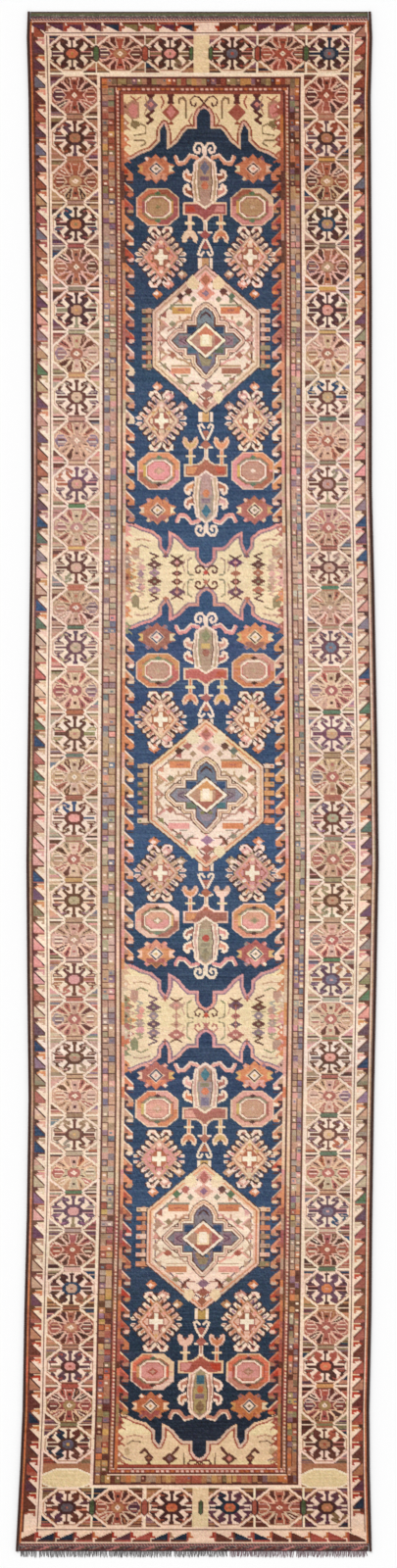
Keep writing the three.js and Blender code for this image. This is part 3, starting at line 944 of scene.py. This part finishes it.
def outer_guard(chart, pick):
    """Running hooks on a pale ground, inside the striped outer edge, on all four sides."""
    for left, top, right, bottom in (
        (4, 0, 17, ROWS), (329, 0, 342, ROWS), (4, 1, 342, 13), (4, 1537, 342, 1552),
    ):
        chart.box("cream", left, top, right, bottom)
    for number in range(OUTER_HOOKS):
        row = 16 + (1534 - 16) * number / OUTER_HOOKS
        for column, way in ((5.0, 1), (341.0, -1)):
            edge = pick("walnut", "walnut", "umber")
            bar = pick("walnut", "brick")
            if row > 1270:
                body = pick("brick", "walnut", "plum", "brick", "tan", "navy")
                head = pick("brick", "orange", "red")
            elif row < 300:
                body = pick("brick", "tan", "slate", "pink", "brick", "olive", "walnut", "plum")
                head = pick("orange", "brick", "orange", "pink", "tan", "gold")
            else:
                body = pick(*WORN_HOOKS)
                head = pick("pink", "tan", "sand", "peach", "orange", "tan")
            running_hook(Pen(chart, column, row, way, 1.0), body, edge, head, bar)
    for number in range(17):
        column = 12 + 320 * number / 17
        dark = pick("navy", "plum", "walnut", "brick", "olive")
        flip = 1 if number < 9 else -1
        turned(chart, column if flip > 0 else column + 17, 1.5, flip, 1, dark, pick("walnut", "brick"), pick)
        turned(
            chart, column if flip > 0 else column + 17, 1551, flip, -1,
            pick("brick", "walnut", "navy", "plum"), pick("walnut", "brick"), pick,
        )
    chart.box("brick", 2.6, 0.8, 343, 2.0)
    for column, right, yarn, width in (
        (2.4, 341.8, "walnut", 1.6), (15.2, 329.2, "cream", 1.4), (16.8, 327.8, "walnut", 1.4),
        (18.4, 326.4, "cream", 1.4),
    ):
        chart.box(yarn, column, 11.6, column + width, 1541)
        chart.box(yarn, right, 11.6, right + width, 1541)
    for top, yarn, width in (
        (11.2, "cream", 1.0), (12.2, "umber", 1.4), (13.4, "cream", 1.4), (1535.8, "cream", 1.5),
        (1537.5, "umber", 1.5),
    ):
        chart.box(yarn, 16.2, top, 329.6, top + width)
    for top, bottom, yarn in ((0, 330, "orange"), (330, 1200, "tan"), (1200, ROWS, "orange")):
        chart.box(yarn, 0, top, 2, bottom)
        chart.box(yarn, 344, top, 346, bottom)


def turned(chart, column, row, across, down, dark, bar, pick):
    """A running hook lying along an end of the rug."""
    pen = Pen(chart, column, row, across, down)
    pen.area(dark, (-12.5, 0), (-12.5, 2.4), (0, 8), (4.4, 10), (4.4, 0))
    pen.block(pick("walnut", "umber", "brick"), -12.5, 0, 4.6, 2.2)
    pen.line(bar, (4.2, 1), (4.2, 9.8), width=1.5)
    pen.area(
        pick("orange", "brick", "red", "tan"), (5, 3.6), (5, 9.6), (7, 9.6), (7, 6.4), (9.4, 6), (10.6, 3.6),
    )


def painted_motifs(chart, pick):
    main_border(chart, pick)
    field(chart, pick)
    inner_guard(chart, pick)
    outer_guard(chart, pick)


# ---------------------------------------------------------------------------------------------
# Where things are, read from the CAD frame
# ---------------------------------------------------------------------------------------------
MM = 0.001


def edges_of(node):
    """Stations along the rug, and the left and right edge of a CAD node at each of them."""
    points = np.array([v.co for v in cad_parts[node].data.vertices], float)
    along = np.round(points[:, 1], 4)
    stations = np.unique(along)
    left = np.array([points[along == y, 0].min() for y in stations])
    right = np.array([points[along == y, 0].max() for y in stations])
    return stations, left, right


GROUND_LOW, GROUND_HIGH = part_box("foundation_weave")
STATIONS, LEFT_EDGE, RIGHT_EDGE = edges_of("foundation_weave")
GROUND_TOP = GROUND_HIGH.z
PILE_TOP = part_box("pile_field")[1].z
TOP_END = GROUND_HIGH.y
BOTTOM_END = GROUND_LOW.y
# The weave runs out to the wound edges, over the small gap that the CAD leaves there.
EDGE_REACH = 0.6 * MM


def across(share, y):
    """x at a share of the width between the corded edges, at y along the rug."""
    left = np.interp(y, STATIONS, LEFT_EDGE) - EDGE_REACH
    right = np.interp(y, STATIONS, RIGHT_EDGE) + EDGE_REACH
    return left + share * (right - left)


def mesh_object(name, points, faces, colours=None, smooth=True):
    """A mesh from arrays of corners and quads, with a yarn colour on each corner."""
    mesh = bpy.data.meshes.new(name)
    mesh.vertices.add(len(points))
    mesh.vertices.foreach_set("co", np.asarray(points, np.float32).ravel())
    faces = np.asarray(faces, np.int32)
    mesh.loops.add(faces.size)
    mesh.loops.foreach_set("vertex_index", faces.ravel())
    mesh.polygons.add(len(faces))
    mesh.polygons.foreach_set("loop_start", np.arange(0, faces.size, faces.shape[1], dtype=np.int32))
    mesh.polygons.foreach_set("loop_total", np.full(len(faces), faces.shape[1], np.int32))
    mesh.polygons.foreach_set("use_smooth", np.full(len(faces), smooth))
    mesh.update(calc_edges=True)
    if colours is not None:
        layer = mesh.color_attributes.new("yarn", "FLOAT_COLOR", "POINT")
        rgba = np.ones((len(points), 4), np.float32)
        rgba[:, :3] = colours
        layer.data.foreach_set("color", rgba.ravel())
    made = bpy.data.objects.new(name, mesh)
    bpy.context.scene.collection.objects.link(made)
    return made


def grid_faces(rows, columns):
    """Quads of a grid of corners numbered row by row."""
    corner = np.arange(rows * columns).reshape(rows, columns)
    return np.stack([corner[:-1, :-1], corner[1:, :-1], corner[1:, 1:], corner[:-1, 1:]], -1).reshape(-1, 4)


def closed_faces(rows, columns):
    """Quads of a closed cloth: a top grid, a grid under it numbered after it, and the wall round both."""
    top = grid_faces(rows, columns)
    count = rows * columns
    corner = np.arange(count).reshape(rows, columns)
    rim = np.concatenate([corner[:, 0], corner[-1, 1:], corner[-2::-1, -1], corner[0, -2:0:-1]])
    following = np.roll(rim, -1)
    wall = np.stack([rim, rim + count, following + count, following], -1)
    return np.concatenate([top, top[:, ::-1] + count, wall])


def linear(srgb):
    """Display values from 0 to 255 as linear light."""
    srgb = np.asarray(srgb, float) / 255
    return np.where(srgb <= 0.04045, srgb / 12.92, ((srgb + 0.055) / 1.055) ** 2.4)


# ---------------------------------------------------------------------------------------------
# Materials
# ---------------------------------------------------------------------------------------------
# How bright the studio shows a flat colour of 1, and how much sheen adds to black.
LIGHT_GAIN = np.array((1.08, 1.073, 1.068))
LIGHT_HAZE = 0.002


class Shader:
    """A node material being put together."""

    def __init__(self, name):
        self.material = bpy.data.materials.new(name)
        self.material.use_nodes = True
        self.nodes = self.material.node_tree.nodes
        self.links = self.material.node_tree.links
        self.principled = self.nodes["Principled BSDF"]

    def add(self, kind, **settings):
        node = self.nodes.new(kind)
        for key, value in settings.items():
            setattr(node, key, value)
        return node

    def link(self, source, target):
        self.links.new(source, target)

    def noise(self, scale, detail=3.0, stretch=(1, 1, 1)):
        place = self.add("ShaderNodeTexCoord")
        mapping = self.add("ShaderNodeMapping")
        mapping.inputs["Scale"].default_value = stretch
        made = self.add("ShaderNodeTexNoise")
        made.inputs["Scale"].default_value = scale
        made.inputs["Detail"].default_value = detail
        self.link(place.outputs["Object"], mapping.inputs["Vector"])
        self.link(mapping.outputs["Vector"], made.inputs["Vector"])
        return made.outputs["Fac"]

    def range(self, value, low, high):
        made = self.add("ShaderNodeMapRange")
        made.inputs["From Min"].default_value = 0.3
        made.inputs["From Max"].default_value = 0.7
        made.inputs["To Min"].default_value = low
        made.inputs["To Max"].default_value = high
        self.link(value, made.inputs["Value"])
        return made.outputs["Result"]

    def multiply(self, first, second):
        made = self.add("ShaderNodeMath", operation="MULTIPLY")
        self.link(first, made.inputs[0])
        self.link(second, made.inputs[1])
        return made.outputs["Value"]

    def shade(self, colour, amount):
        """Scales a colour's brightness by a value."""
        made = self.add("ShaderNodeVectorMath", operation="SCALE")
        self.link(colour, made.inputs[0])
        self.link(amount, made.inputs["Scale"])
        return made.outputs["Vector"]

    def yarn(self):
        return self.add("ShaderNodeAttribute", attribute_name="yarn").outputs["Color"]

    def bump(self, height, strength, distance):
        made = self.add("ShaderNodeBump")
        made.inputs["Strength"].default_value = strength
        made.inputs["Distance"].default_value = distance
        self.link(height, made.inputs["Height"])
        self.link(made.outputs["Normal"], self.principled.inputs["Normal"])

    def finish(self, colour, roughness, sheen, specular=0.25):
        self.link(colour, self.principled.inputs["Base Color"])
        if isinstance(roughness, float):
            self.principled.inputs["Roughness"].default_value = roughness
        else:
            self.link(roughness, self.principled.inputs["Roughness"])
        self.principled.inputs["Sheen Weight"].default_value = sheen
        self.principled.inputs["Sheen Roughness"].default_value = 0.5
        self.principled.inputs["Specular IOR Level"].default_value = specular
        return self.material


def pile_wool():
    """Cut wool ends: soft patchy wear, streaks along the wefts, and fibre grain."""
    shader = Shader("pile_wool")
    wear = shader.range(shader.noise(7, 4), 0.95, 1.05)
    weft = shader.range(shader.noise(60, 2, (0.15, 2.4, 1)), 0.96, 1.04)
    fibre = shader.noise(900, 2)
    grain = shader.range(fibre, 0.94, 1.06)
    amount = shader.multiply(shader.multiply(wear, weft), grain)
    shader.bump(fibre, 0.35, 0.0008)
    roughness = shader.range(shader.noise(25, 3), 0.82, 0.96)
    return shader.finish(shader.shade(shader.yarn(), amount), roughness, 0.12)


def spun_yarn(name, grain_scale, stretch, sheen=0.08):
    """Yarn seen from the side: fibres along it, with uneven dye."""
    shader = Shader(name)
    dye = shader.range(shader.noise(40, 3), 0.88, 1.12)
    fibre = shader.noise(grain_scale, 3, stretch)
    grain = shader.range(fibre, 0.86, 1.14)
    shader.bump(fibre, 0.5, 0.0006)
    roughness = shader.range(shader.noise(90, 2), 0.8, 0.97)
    return shader.finish(shader.shade(shader.yarn(), shader.multiply(dye, grain)), roughness, sheen)


# ---------------------------------------------------------------------------------------------
# Pile
# ---------------------------------------------------------------------------------------------
SECTIONS = 7
PILE_SINK = 0.8 * MM  # how far the pile's middle level lies under the CAD's top
SKIRT_DROP = 0.4 * MM  # how far the shorn edge runs down into the ground weave
PILE_NODES = [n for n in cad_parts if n.startswith("pile_")]


def pile_nodes_between(low_y, high_y):
    """The CAD pile nodes that a stretch of the rug lies over."""
    boxes = {node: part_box(node) for node in PILE_NODES}
    return [node for node, (low, high) in boxes.items() if low.y < high_y and high.y > low_y]


def pile_sections(colours, material, random):
    """The knotted face as lengthwise sections of one cloth, a corner for each knot."""
    rows, columns = colours.shape[:2]
    share = (np.arange(columns) + 0.5) / columns
    y = TOP_END - (np.arange(rows) + 0.5) / rows * (TOP_END - BOTTOM_END)
    x = across(share[None, :], y[:, None])
    z = PILE_TOP - PILE_SINK + random.normal(0, 0.00016, (rows, columns))
    z += 0.0003 * np.sin(y[:, None] * 9 + 3 * share[None, :]) * np.cos(x * 17)
    from_side = np.minimum(np.arange(columns), np.arange(columns)[::-1])
    from_end = np.minimum(np.arange(rows), np.arange(rows)[::-1])
    z -= 0.0016 * np.exp(-from_side[None, :] / 1.0) + 0.0016 * np.exp(-from_end[:, None] / 1.0)
    # the shorn edge falls to the ground weave outside the last knot
    x = np.concatenate([across(0, y)[:, None], x, across(1, y)[:, None]], 1)
    y = np.repeat(y[:, None], columns + 2, 1)
    z = np.pad(z, ((0, 0), (1, 1)), constant_values=GROUND_TOP - SKIRT_DROP)
    tint = np.pad(colours, ((0, 0), (1, 1), (0, 0)), mode="edge")
    x = np.concatenate([x[:1], x, x[-1:]])
    y = np.concatenate([np.full((1, columns + 2), TOP_END), y, np.full((1, columns + 2), BOTTOM_END)])
    skirt = np.full((1, columns + 2), GROUND_TOP - SKIRT_DROP)
    z = np.concatenate([skirt, z, skirt])
    tint = np.concatenate([tint[:1], tint, tint[-1:]])
    points = np.stack([x, y, z], -1)
    made = []
    cuts = np.linspace(0, rows + 1, SECTIONS + 1).round().astype(int)
    for number, (first, last) in enumerate(zip(cuts[:-1], cuts[1:]), 1):
        part = slice(first, last + 1)
        piece = mesh_object(
            f"pile_section_{number}",
            points[part].reshape(-1, 3),
            grid_faces(last + 1 - first, columns + 2),
            tint[part].reshape(-1, 3),
        )
        piece.data.materials.append(material)
        low_y, high_y = points[part][-1, 0, 1], points[part][0, 0, 1]
        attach(piece, "root")
        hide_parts(*pile_nodes_between(low_y, high_y))
        made.append(piece)
    return made


def painted_chart():
    """The whole face of the rug as yarns."""
    chart = Chart()
    random = np.random.default_rng(7)

    def pick(*yarns):
        return yarns[random.integers(len(yarns))]

    painted_motifs(chart, pick)
    return chart.knots


# Each yarn's colour half way along the rug, in display values.
PALETTE = {
    "cream": (250, 221, 198), "ivory": (252, 232, 206), "straw": (240, 214, 174), "navy": (57, 76, 104),
    "brick": (178, 110, 94), "walnut": (110, 70, 58), "orange": (214, 142, 104), "plum": (112, 80, 94),
    "slate": (126, 124, 136), "olive": (156, 138, 110), "green": (104, 122, 96), "gold": (214, 170, 114),
    "umber": (84, 54, 48), "teal": (84, 118, 130), "pink": (224, 160, 148), "tan": (194, 152, 127),
    "red": (190, 86, 70), "mauve": (154, 124, 134), "peach": (234, 196, 168), "sand": (212, 176, 150),
    "stone": (180, 158, 138),
}
# Warm yarns are deeper towards the two ends, where they faded least.
END_DEPTH = (34, 46, 52)
FADE_FROM = 0.46
# The middling shades changed most: shares of that depth for yarns of these brightnesses.
FADE_BRIGHTNESS = (60, 110, 170, 200, 220)
FADE_SHARES = (0.4, 0.95, 0.95, 0.6, 0.5)
# The blue ground has one dye lot after another: the row where each is strongest, and how light it is.
# These and the yarns' colours follow what was measured on the photo, rounded.
BLUE_LOTS = (
    (70, 0.5), (250, 0.85), (550, 1.1), (740, 1.0), (830, 1.15), (980, 0.85), (1200, 1.0), (1440, 0.45),
)
LOT_ROWS = 26


def end_fade():
    """How far each row is towards the deeper colours of the ends, from 0 to 1."""
    from_middle = np.abs(np.linspace(-1, 1, ROWS))
    share = np.clip((from_middle - FADE_FROM) / (1 - FADE_FROM), 0, 1)
    return share * share * (3 - 2 * share)


def dyed(knots):
    """The colour of each knot, as linear light: yarn, fading, dye lots, streaks along the wefts."""
    random = np.random.default_rng(5)
    rows = np.arange(ROWS)
    fade = -end_fade()[:, None] * np.array(END_DEPTH, float)
    lot_rows, lightness = zip(*BLUE_LOTS)
    blue = np.interp(rows, lot_rows, lightness)[:, None] * np.array(PALETTE["navy"], float)
    shades = np.array([PALETTE[name] for name in YARNS], float)
    colours = shades[knots]
    brightness = colours.mean(-1, keepdims=True)
    share = np.interp(brightness, FADE_BRIGHTNESS, FADE_SHARES)
    colours = colours + fade[:, None, :] * share
    is_blue = knots == YARN["navy"]
    colours[is_blue] = np.broadcast_to(blue[:, None, :], colours.shape)[is_blue]
    lot_count = ROWS // LOT_ROWS + 2
    lots = random.normal(0, 5, (lot_count, len(YARNS), 3)) + random.normal(0, 5, (lot_count, len(YARNS), 1))
    steady = [YARN[name] for name in ("navy", "cream", "ivory", "straw")]
    lots[:, steady] *= 0.4
    lot_of = (rows[:, None] + 7 * knots) // LOT_ROWS % len(lots)
    colours += lots[lot_of, knots] * np.clip(colours.mean(-1, keepdims=True) / 130, 0.5, 1)
    streaks = random.normal(0, 1, (ROWS, 12))
    position = np.linspace(0, 11, COLUMNS)
    streak = np.stack([np.interp(position, np.arange(12), line) for line in streaks])
    colours += streak[..., None] * np.where(is_blue, 7.0, 4.5)[..., None]
    colours += random.normal(0, 9, knots.shape)[..., None] + random.normal(0, 3, colours.shape)
    return np.clip((linear(np.clip(colours, 14, 255)) - LIGHT_HAZE) / LIGHT_GAIN, 0.003, 0.98)


# ---------------------------------------------------------------------------------------------
# Ground weave and its back
# ---------------------------------------------------------------------------------------------
BACK_STEP = 3  # knots to each corner of the back
RIDGE_HEIGHT = 0.35 * MM


def ground_weave(colours, material):
    """The ground weave as one closed cloth; its back shows the same pattern, as knotted rugs do."""
    rows = np.arange(0, colours.shape[0] + 1, BACK_STEP)
    columns = np.arange(0, colours.shape[1] + 1, BACK_STEP)
    rows[-1], columns[-1] = colours.shape[:2]
    y = TOP_END - rows / colours.shape[0] * (TOP_END - BOTTOM_END)
    x = across(columns[None, :] / colours.shape[1], y[:, None])
    y = np.repeat(y[:, None], len(columns), 1)
    tint = colours[np.minimum(rows, colours.shape[0] - 1)][:, np.minimum(columns, colours.shape[1] - 1)]
    ridge = RIDGE_HEIGHT * (np.arange(len(rows))[:, None] % 2) * np.ones_like(x)
    layers = []
    for z in (np.full_like(x, GROUND_TOP), ridge):
        layers.append(np.stack([x, y, z], -1).reshape(-1, 3))
    made = mesh_object(
        "ground_weave",
        np.concatenate(layers),
        closed_faces(*x.shape),
        np.concatenate([tint.reshape(-1, 3)] * 2),
        smooth=False,
    )
    made.data.materials.append(material)
    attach(made, "root")
    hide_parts("foundation_weave")
    return made


# ---------------------------------------------------------------------------------------------
# Edges and ends
# ---------------------------------------------------------------------------------------------
WRAP_STEP = 1.2 * MM
WRAP_PITCH = 4.8 * MM
WRAP_SIDES = 12
APRON_COLUMNS = 420
WEFT_PITCH = 1.1 * MM
TWINE_PITCH = 7 * MM
TWINE_STEP = 0.9 * MM
TWINE_RADIUS = 1.25 * MM
TUFT_PITCH = 3.1 * MM
TUFT_STEPS = 6
TUFT_SIDES = 6


def tube(path, radius, sides, squash=1.0):
    """A tube along a path that runs mostly along one axis; radius may change along and round it."""
    path = np.asarray(path, float)
    run = np.gradient(path, axis=0)
    run /= np.linalg.norm(run, axis=1)[:, None]
    side = np.cross(run, (0, 0, 1))
    side /= np.linalg.norm(side, axis=1)[:, None]
    up = np.cross(side, run)
    turn = np.linspace(0, 2 * math.pi, sides, endpoint=False)
    radius = np.broadcast_to(radius, (len(path), sides))
    points = (
        path[:, None, :]
        + side[:, None, :] * (np.cos(turn)[None, :] * radius)[..., None]
        + up[:, None, :] * (np.sin(turn)[None, :] * radius * squash)[..., None]
    )
    corner = np.arange(len(path) * sides).reshape(len(path), sides)
    beside = np.roll(corner, -1, 1)
    wall = np.stack([corner[:-1], corner[1:], beside[1:], beside[:-1]], -1).reshape(-1, 4)
    rung = np.arange(sides // 2 - 1)
    start = np.stack([rung, rung + 1, sides - 2 - rung, sides - 1 - rung], -1)
    end = start[:, ::-1] + corner[-1, 0]
    return points.reshape(-1, 3), np.concatenate([wall, start, end])


def wrapped_edge(side, material, random):
    """The overcast edge: dark wool wound round the side cord, turn by turn."""
    node = "overcast_wrap_" + side
    low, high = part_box(node)
    stations, left, right = edges_of(node)
    middle = (left + right) / 2
    thick = (high.z - low.z) / 2
    y = np.arange(low.y, high.y, WRAP_STEP)
    x = np.interp(y, stations, middle)
    path = np.stack([x, y, np.full_like(y, low.z + thick)], -1)
    turn = np.linspace(0, 2 * math.pi, WRAP_SIDES, endpoint=False)
    wound = 2 * math.pi * y[:, None] / WRAP_PITCH + turn[None, :]
    uneven = random.normal(0, 0.012, (len(y), 1))
    radius = thick * (0.92 + 0.04 * np.cos(wound) + uneven)
    # Painted light and shade: each turn of the wound wool is painted lighter on its crest and darker in the
    # groove between turns, in step with the radius above; the random part is uneven dye from turn to turn.
    tone = 1 + 0.22 * np.cos(wound) + random.normal(0, 0.12, (len(y), 1))
    base = linear(SELVEDGE_WOOL)
    colours = (base[None, None, :] * np.clip(tone, 0.3, 2)[..., None]).reshape(-1, 3)
    points, faces = tube(path, radius, WRAP_SIDES)
    made = mesh_object("wrapped_edge_" + side, points, faces, colours)
    made.data.materials.append(material)
    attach(made, "root")
    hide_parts(node)
    return made


def apron(end, colour_at, material, random):
    """A flat-woven end band: wefts packed over the warps, in stripes along its width."""
    node = "kilim_apron_" + end
    low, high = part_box(node)
    columns = APRON_COLUMNS
    rows = 2 * round((high.y - low.y) / WEFT_PITCH)
    stations, left, right = edges_of(node)
    share = np.linspace(0, 1, columns)
    y = np.linspace(high.y, low.y, rows)
    x = np.interp(y, stations, left)[:, None] * (1 - share) + np.interp(y, stations, right)[:, None] * share
    rib = np.cos(np.arange(columns) * math.pi)[None, :] * np.cos(np.arange(rows) * math.pi)[:, None]
    z = high.z - 0.0003 + 0.00028 * rib + random.normal(0, 0.00008, x.shape)
    z[0] = z[-1] = low.z + 0.0002
    z[:, 0] = z[:, -1] = low.z + 0.0002
    colours = colour_at(share, (high.y - y) / (high.y - low.y), random)
    points = np.stack([x, np.repeat(y[:, None], columns, 1), z], -1)
    under = points.copy()
    under[..., 2] = low.z
    made = mesh_object(
        "flat_woven_end_" + end,
        np.concatenate([points.reshape(-1, 3), under.reshape(-1, 3)]),
        closed_faces(rows, columns),
        np.concatenate([colours.reshape(-1, 3)] * 2),
    )
    made.data.materials.append(material)
    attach(made, "root")
    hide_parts(node)
    return made


def twined_row(end, yarns, material, random):
    """Two yarns twisted round each other across the end of the pile."""
    node = "twined_row_" + end
    low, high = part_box(node)
    middle_y, middle_z = (low.y + high.y) / 2, (low.z + high.z) / 2
    reach = (high.y - low.y) / 4
    sides = 8
    parts = []
    start = 0
    for strand, yarn in enumerate(yarns):
        x = np.arange(low.x, high.x, TWINE_STEP)
        phase = 2 * math.pi * x / TWINE_PITCH + strand * math.pi
        path = np.stack([x, middle_y + reach * 0.9 * np.cos(phase), middle_z + 0.0004 * np.sin(phase)], -1)
        tone = 1 + random.normal(0, 0.1, (len(x), 1, 1)) + np.zeros((1, sides, 1))
        colours = (linear(yarn)[None, None, :] * np.clip(tone, 0.5, 1.5)).reshape(-1, 3)
        points, faces = tube(path, TWINE_RADIUS, sides, squash=0.85)
        parts.append((points, faces + start, colours))
        start += len(points)
    made = mesh_object("twined_yarns_" + end, *(np.concatenate(group) for group in zip(*parts)))
    made.data.materials.append(material)
    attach(made, "root")
    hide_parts(node)
    return made


def fringe_run(number, material, random):
    """Cut warp ends of one run, each a loose tuft of its own length and lean."""
    node = f"fringe_run_{number}"
    low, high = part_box(node)
    places = np.arange(low.x + TUFT_PITCH / 2, high.x, TUFT_PITCH)
    parts = []
    start = 0
    for x0 in places:
        length = (high.y - low.y) * random.uniform(0.72, 1.0)
        lean = random.normal(0, 0.0011)
        curl = random.normal(0, 0.0005)
        t = np.linspace(0, 1, TUFT_STEPS)
        x = np.clip(x0 + lean * t + curl * np.sin(t * 5), low.x - 0.001, high.x + 0.001)
        y = high.y + 0.001 - (length + 0.001) * t
        z = low.z + 0.0009 + 0.0004 * random.uniform(-0.4, 1) * np.sin(t * math.pi)
        radius = 0.00105 * (1 - 0.35 * t ** 2) * random.uniform(0.75, 1.1)
        tone = random.normal(1, 0.12)
        yarn = fringe_tone(x0)
        colours = np.clip(np.repeat((yarn * tone)[None], TUFT_STEPS * TUFT_SIDES, 0), 0, 1)
        points, faces = tube(np.stack([x, y, z], -1), radius[:, None], TUFT_SIDES, squash=0.75)
        parts.append((points, faces + start, colours))
        start += len(points)
    made = mesh_object(f"warp_ends_{number}", *(np.concatenate(group) for group in zip(*parts)))
    made.data.materials.append(material)
    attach(made, "root")
    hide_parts(node)
    return made


# ---------------------------------------------------------------------------------------------
# Putting it together
# ---------------------------------------------------------------------------------------------
SELVEDGE_WOOL = (62, 36, 28)
TOP_TWINE = ((206, 136, 118), (78, 46, 40))
BOTTOM_TWINE = ((188, 116, 108), (70, 38, 36))
GREY_WARP = (112, 108, 108)
MAUVE_WARP = (124, 100, 106)
MAUVE_FROM = 0.079  # metres across the rug
CORD_COTTON = (120, 96, 74)
APRON_DOT = (214, 196, 180)
APRON_CUT_EDGE = (58, 36, 32)


def apron_colours(share, down, random, yarns, patches, cut_edge):
    """Wefts of a flat-woven end: each runs for a while, then another takes over, with a dark cut edge."""
    tones = linear(yarns)
    turns = np.linspace(0, patches, len(share))
    band = (down[:, None] * 3).astype(int)
    chosen = (np.floor(turns[None, :] + band * 0.37) * 7 + band * 5).astype(int) % len(tones)
    colours = tones[chosen]
    colours = colours * np.clip(1 + random.normal(0, 0.25, (*chosen.shape, 1)), 0.4, 1.6)
    dots = (random.random(chosen.shape) < 0.07) & (down[:, None] > 0.5)
    colours[dots] = linear(APRON_DOT)
    colours[down < cut_edge] = linear(APRON_CUT_EDGE)
    return colours


def top_apron_colours(share, down, random):
    """Olive, brown and plum wefts, with a few white warps showing."""
    yarns = (
        (112, 96, 70), (84, 52, 44), (128, 118, 84), (96, 62, 66), (108, 78, 56), (
            92, 96, 70,
        ), (120, 66, 60),
    )
    return apron_colours(share, down, random, yarns, 46, 0.22)


def bottom_apron_colours(share, down, random):
    """Dark red, brown and plum wefts, with pink ones here and there."""
    yarns = ((112, 58, 50), (74, 40, 38), (96, 56, 58), (168, 96, 92), (84, 60, 46), (70, 44, 48))
    return apron_colours(share, 1 - down, random, yarns, 60, 0.16)


def fringe_tone(x):
    """Grey warp ends on the left, mauve-grey on the right."""
    return linear(GREY_WARP) if x < MAUVE_FROM else linear(MAUVE_WARP)


def camera_and_light():
    """Looking straight down at the middle of the photo's frame, under wide soft lamps."""
    camera = bpy.data.objects.new("camera", bpy.data.cameras.new("camera"))
    bpy.context.scene.collection.objects.link(camera)
    bpy.context.scene.camera = camera
    camera.data.lens = 150
    camera.data.sensor_width = 36
    distance = PHOTO_LENGTH / 2 / math.tan(math.atan(camera.data.sensor_width / 2 / camera.data.lens))
    camera.location = (PHOTO_CENTRE[0], PHOTO_CENTRE[1], distance)
    camera.data.clip_end = distance * 4
    floor = bpy.data.objects.new("floor", bpy.data.meshes.new("floor"))
    side = 60
    floor.data.from_pydata(
        [(-side, -side, 0), (side, -side, 0), (side, side, 0), (-side, side, 0)], [], [(0, 1, 2, 3)],
    )
    floor.location.z = -0.0005
    paint = Shader("pale_floor")
    paint.principled.inputs["Base Color"].default_value = (0.92, 0.92, 0.92, 1)
    paint.principled.inputs["Roughness"].default_value = 0.9
    floor.data.materials.append(paint.material)
    bpy.context.scene.collection.objects.link(floor)
    world = bpy.data.worlds.new("studio")
    bpy.context.scene.world = world
    world.use_nodes = True
    world.node_tree.nodes["Background"].inputs["Color"].default_value = (1, 1, 1, 1)
    world.node_tree.nodes["Background"].inputs["Strength"].default_value = WORLD_LIGHT
    sun = bpy.data.lights.new("soft_lamp", "SUN")
    sun.energy = SUN_LIGHT
    sun.angle = math.radians(25)
    lamp = bpy.data.objects.new("soft_lamp", sun)
    lamp.rotation_euler = (math.radians(-32), math.radians(-22), 0)
    bpy.context.scene.collection.objects.link(lamp)
    bpy.context.scene.view_settings.view_transform = "Standard"
    bpy.context.scene.view_settings.look = "None"


PHOTO_LENGTH = 3.712  # what the photo's frame covers along the rug: 1600 pixels of 2.32 mm
PHOTO_CENTRE = (0.0037, 0.0017)
WORLD_LIGHT = 0.75
SUN_LIGHT = 1.3

knots = painted_chart()
yarns = dyed(knots)
wool = pile_wool()
cotton = spun_yarn("ground_cotton", 700, (1, 3, 1))
edge_wool = spun_yarn("edge_wool", 900, (3, 1, 1), 0.15)
sections = pile_sections(yarns, wool, np.random.default_rng(11))
ground = ground_weave(yarns, cotton)
random = np.random.default_rng(23)
edges = [wrapped_edge(side, edge_wool, random) for side in ("left", "right")]
apron_wool = spun_yarn("apron_wool", 800, (1, 3, 1))
aprons = [
    apron("top", top_apron_colours, apron_wool, random),
    apron("bottom", bottom_apron_colours, apron_wool, random),
]
twine_wool = spun_yarn("twined_wool", 900, (2, 1, 1))
twines = [
    twined_row("top", TOP_TWINE, twine_wool, random), twined_row("bottom", BOTTOM_TWINE, twine_wool, random),
]
fringe_wool = spun_yarn("fringe_yarn", 900, (3, 1, 1))
fringes = [fringe_run(number, fringe_wool, random) for number in range(1, 7)]

cord = Shader("edge_cord")
cord_tone = cord.range(cord.noise(500, 3, (3, 1, 1)), 0.85, 1.1)
cord_colour = cord.add("ShaderNodeRGB")
cord_colour.outputs[0].default_value = (*linear(CORD_COTTON), 1)
cord.finish(cord.shade(cord_colour.outputs[0], cord_tone), 0.9, 0.05)
for side in ("left", "right"):
    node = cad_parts["side_cord_" + side]
    node.data.materials.clear()
    node.data.materials.append(cord.material)

camera_and_light()
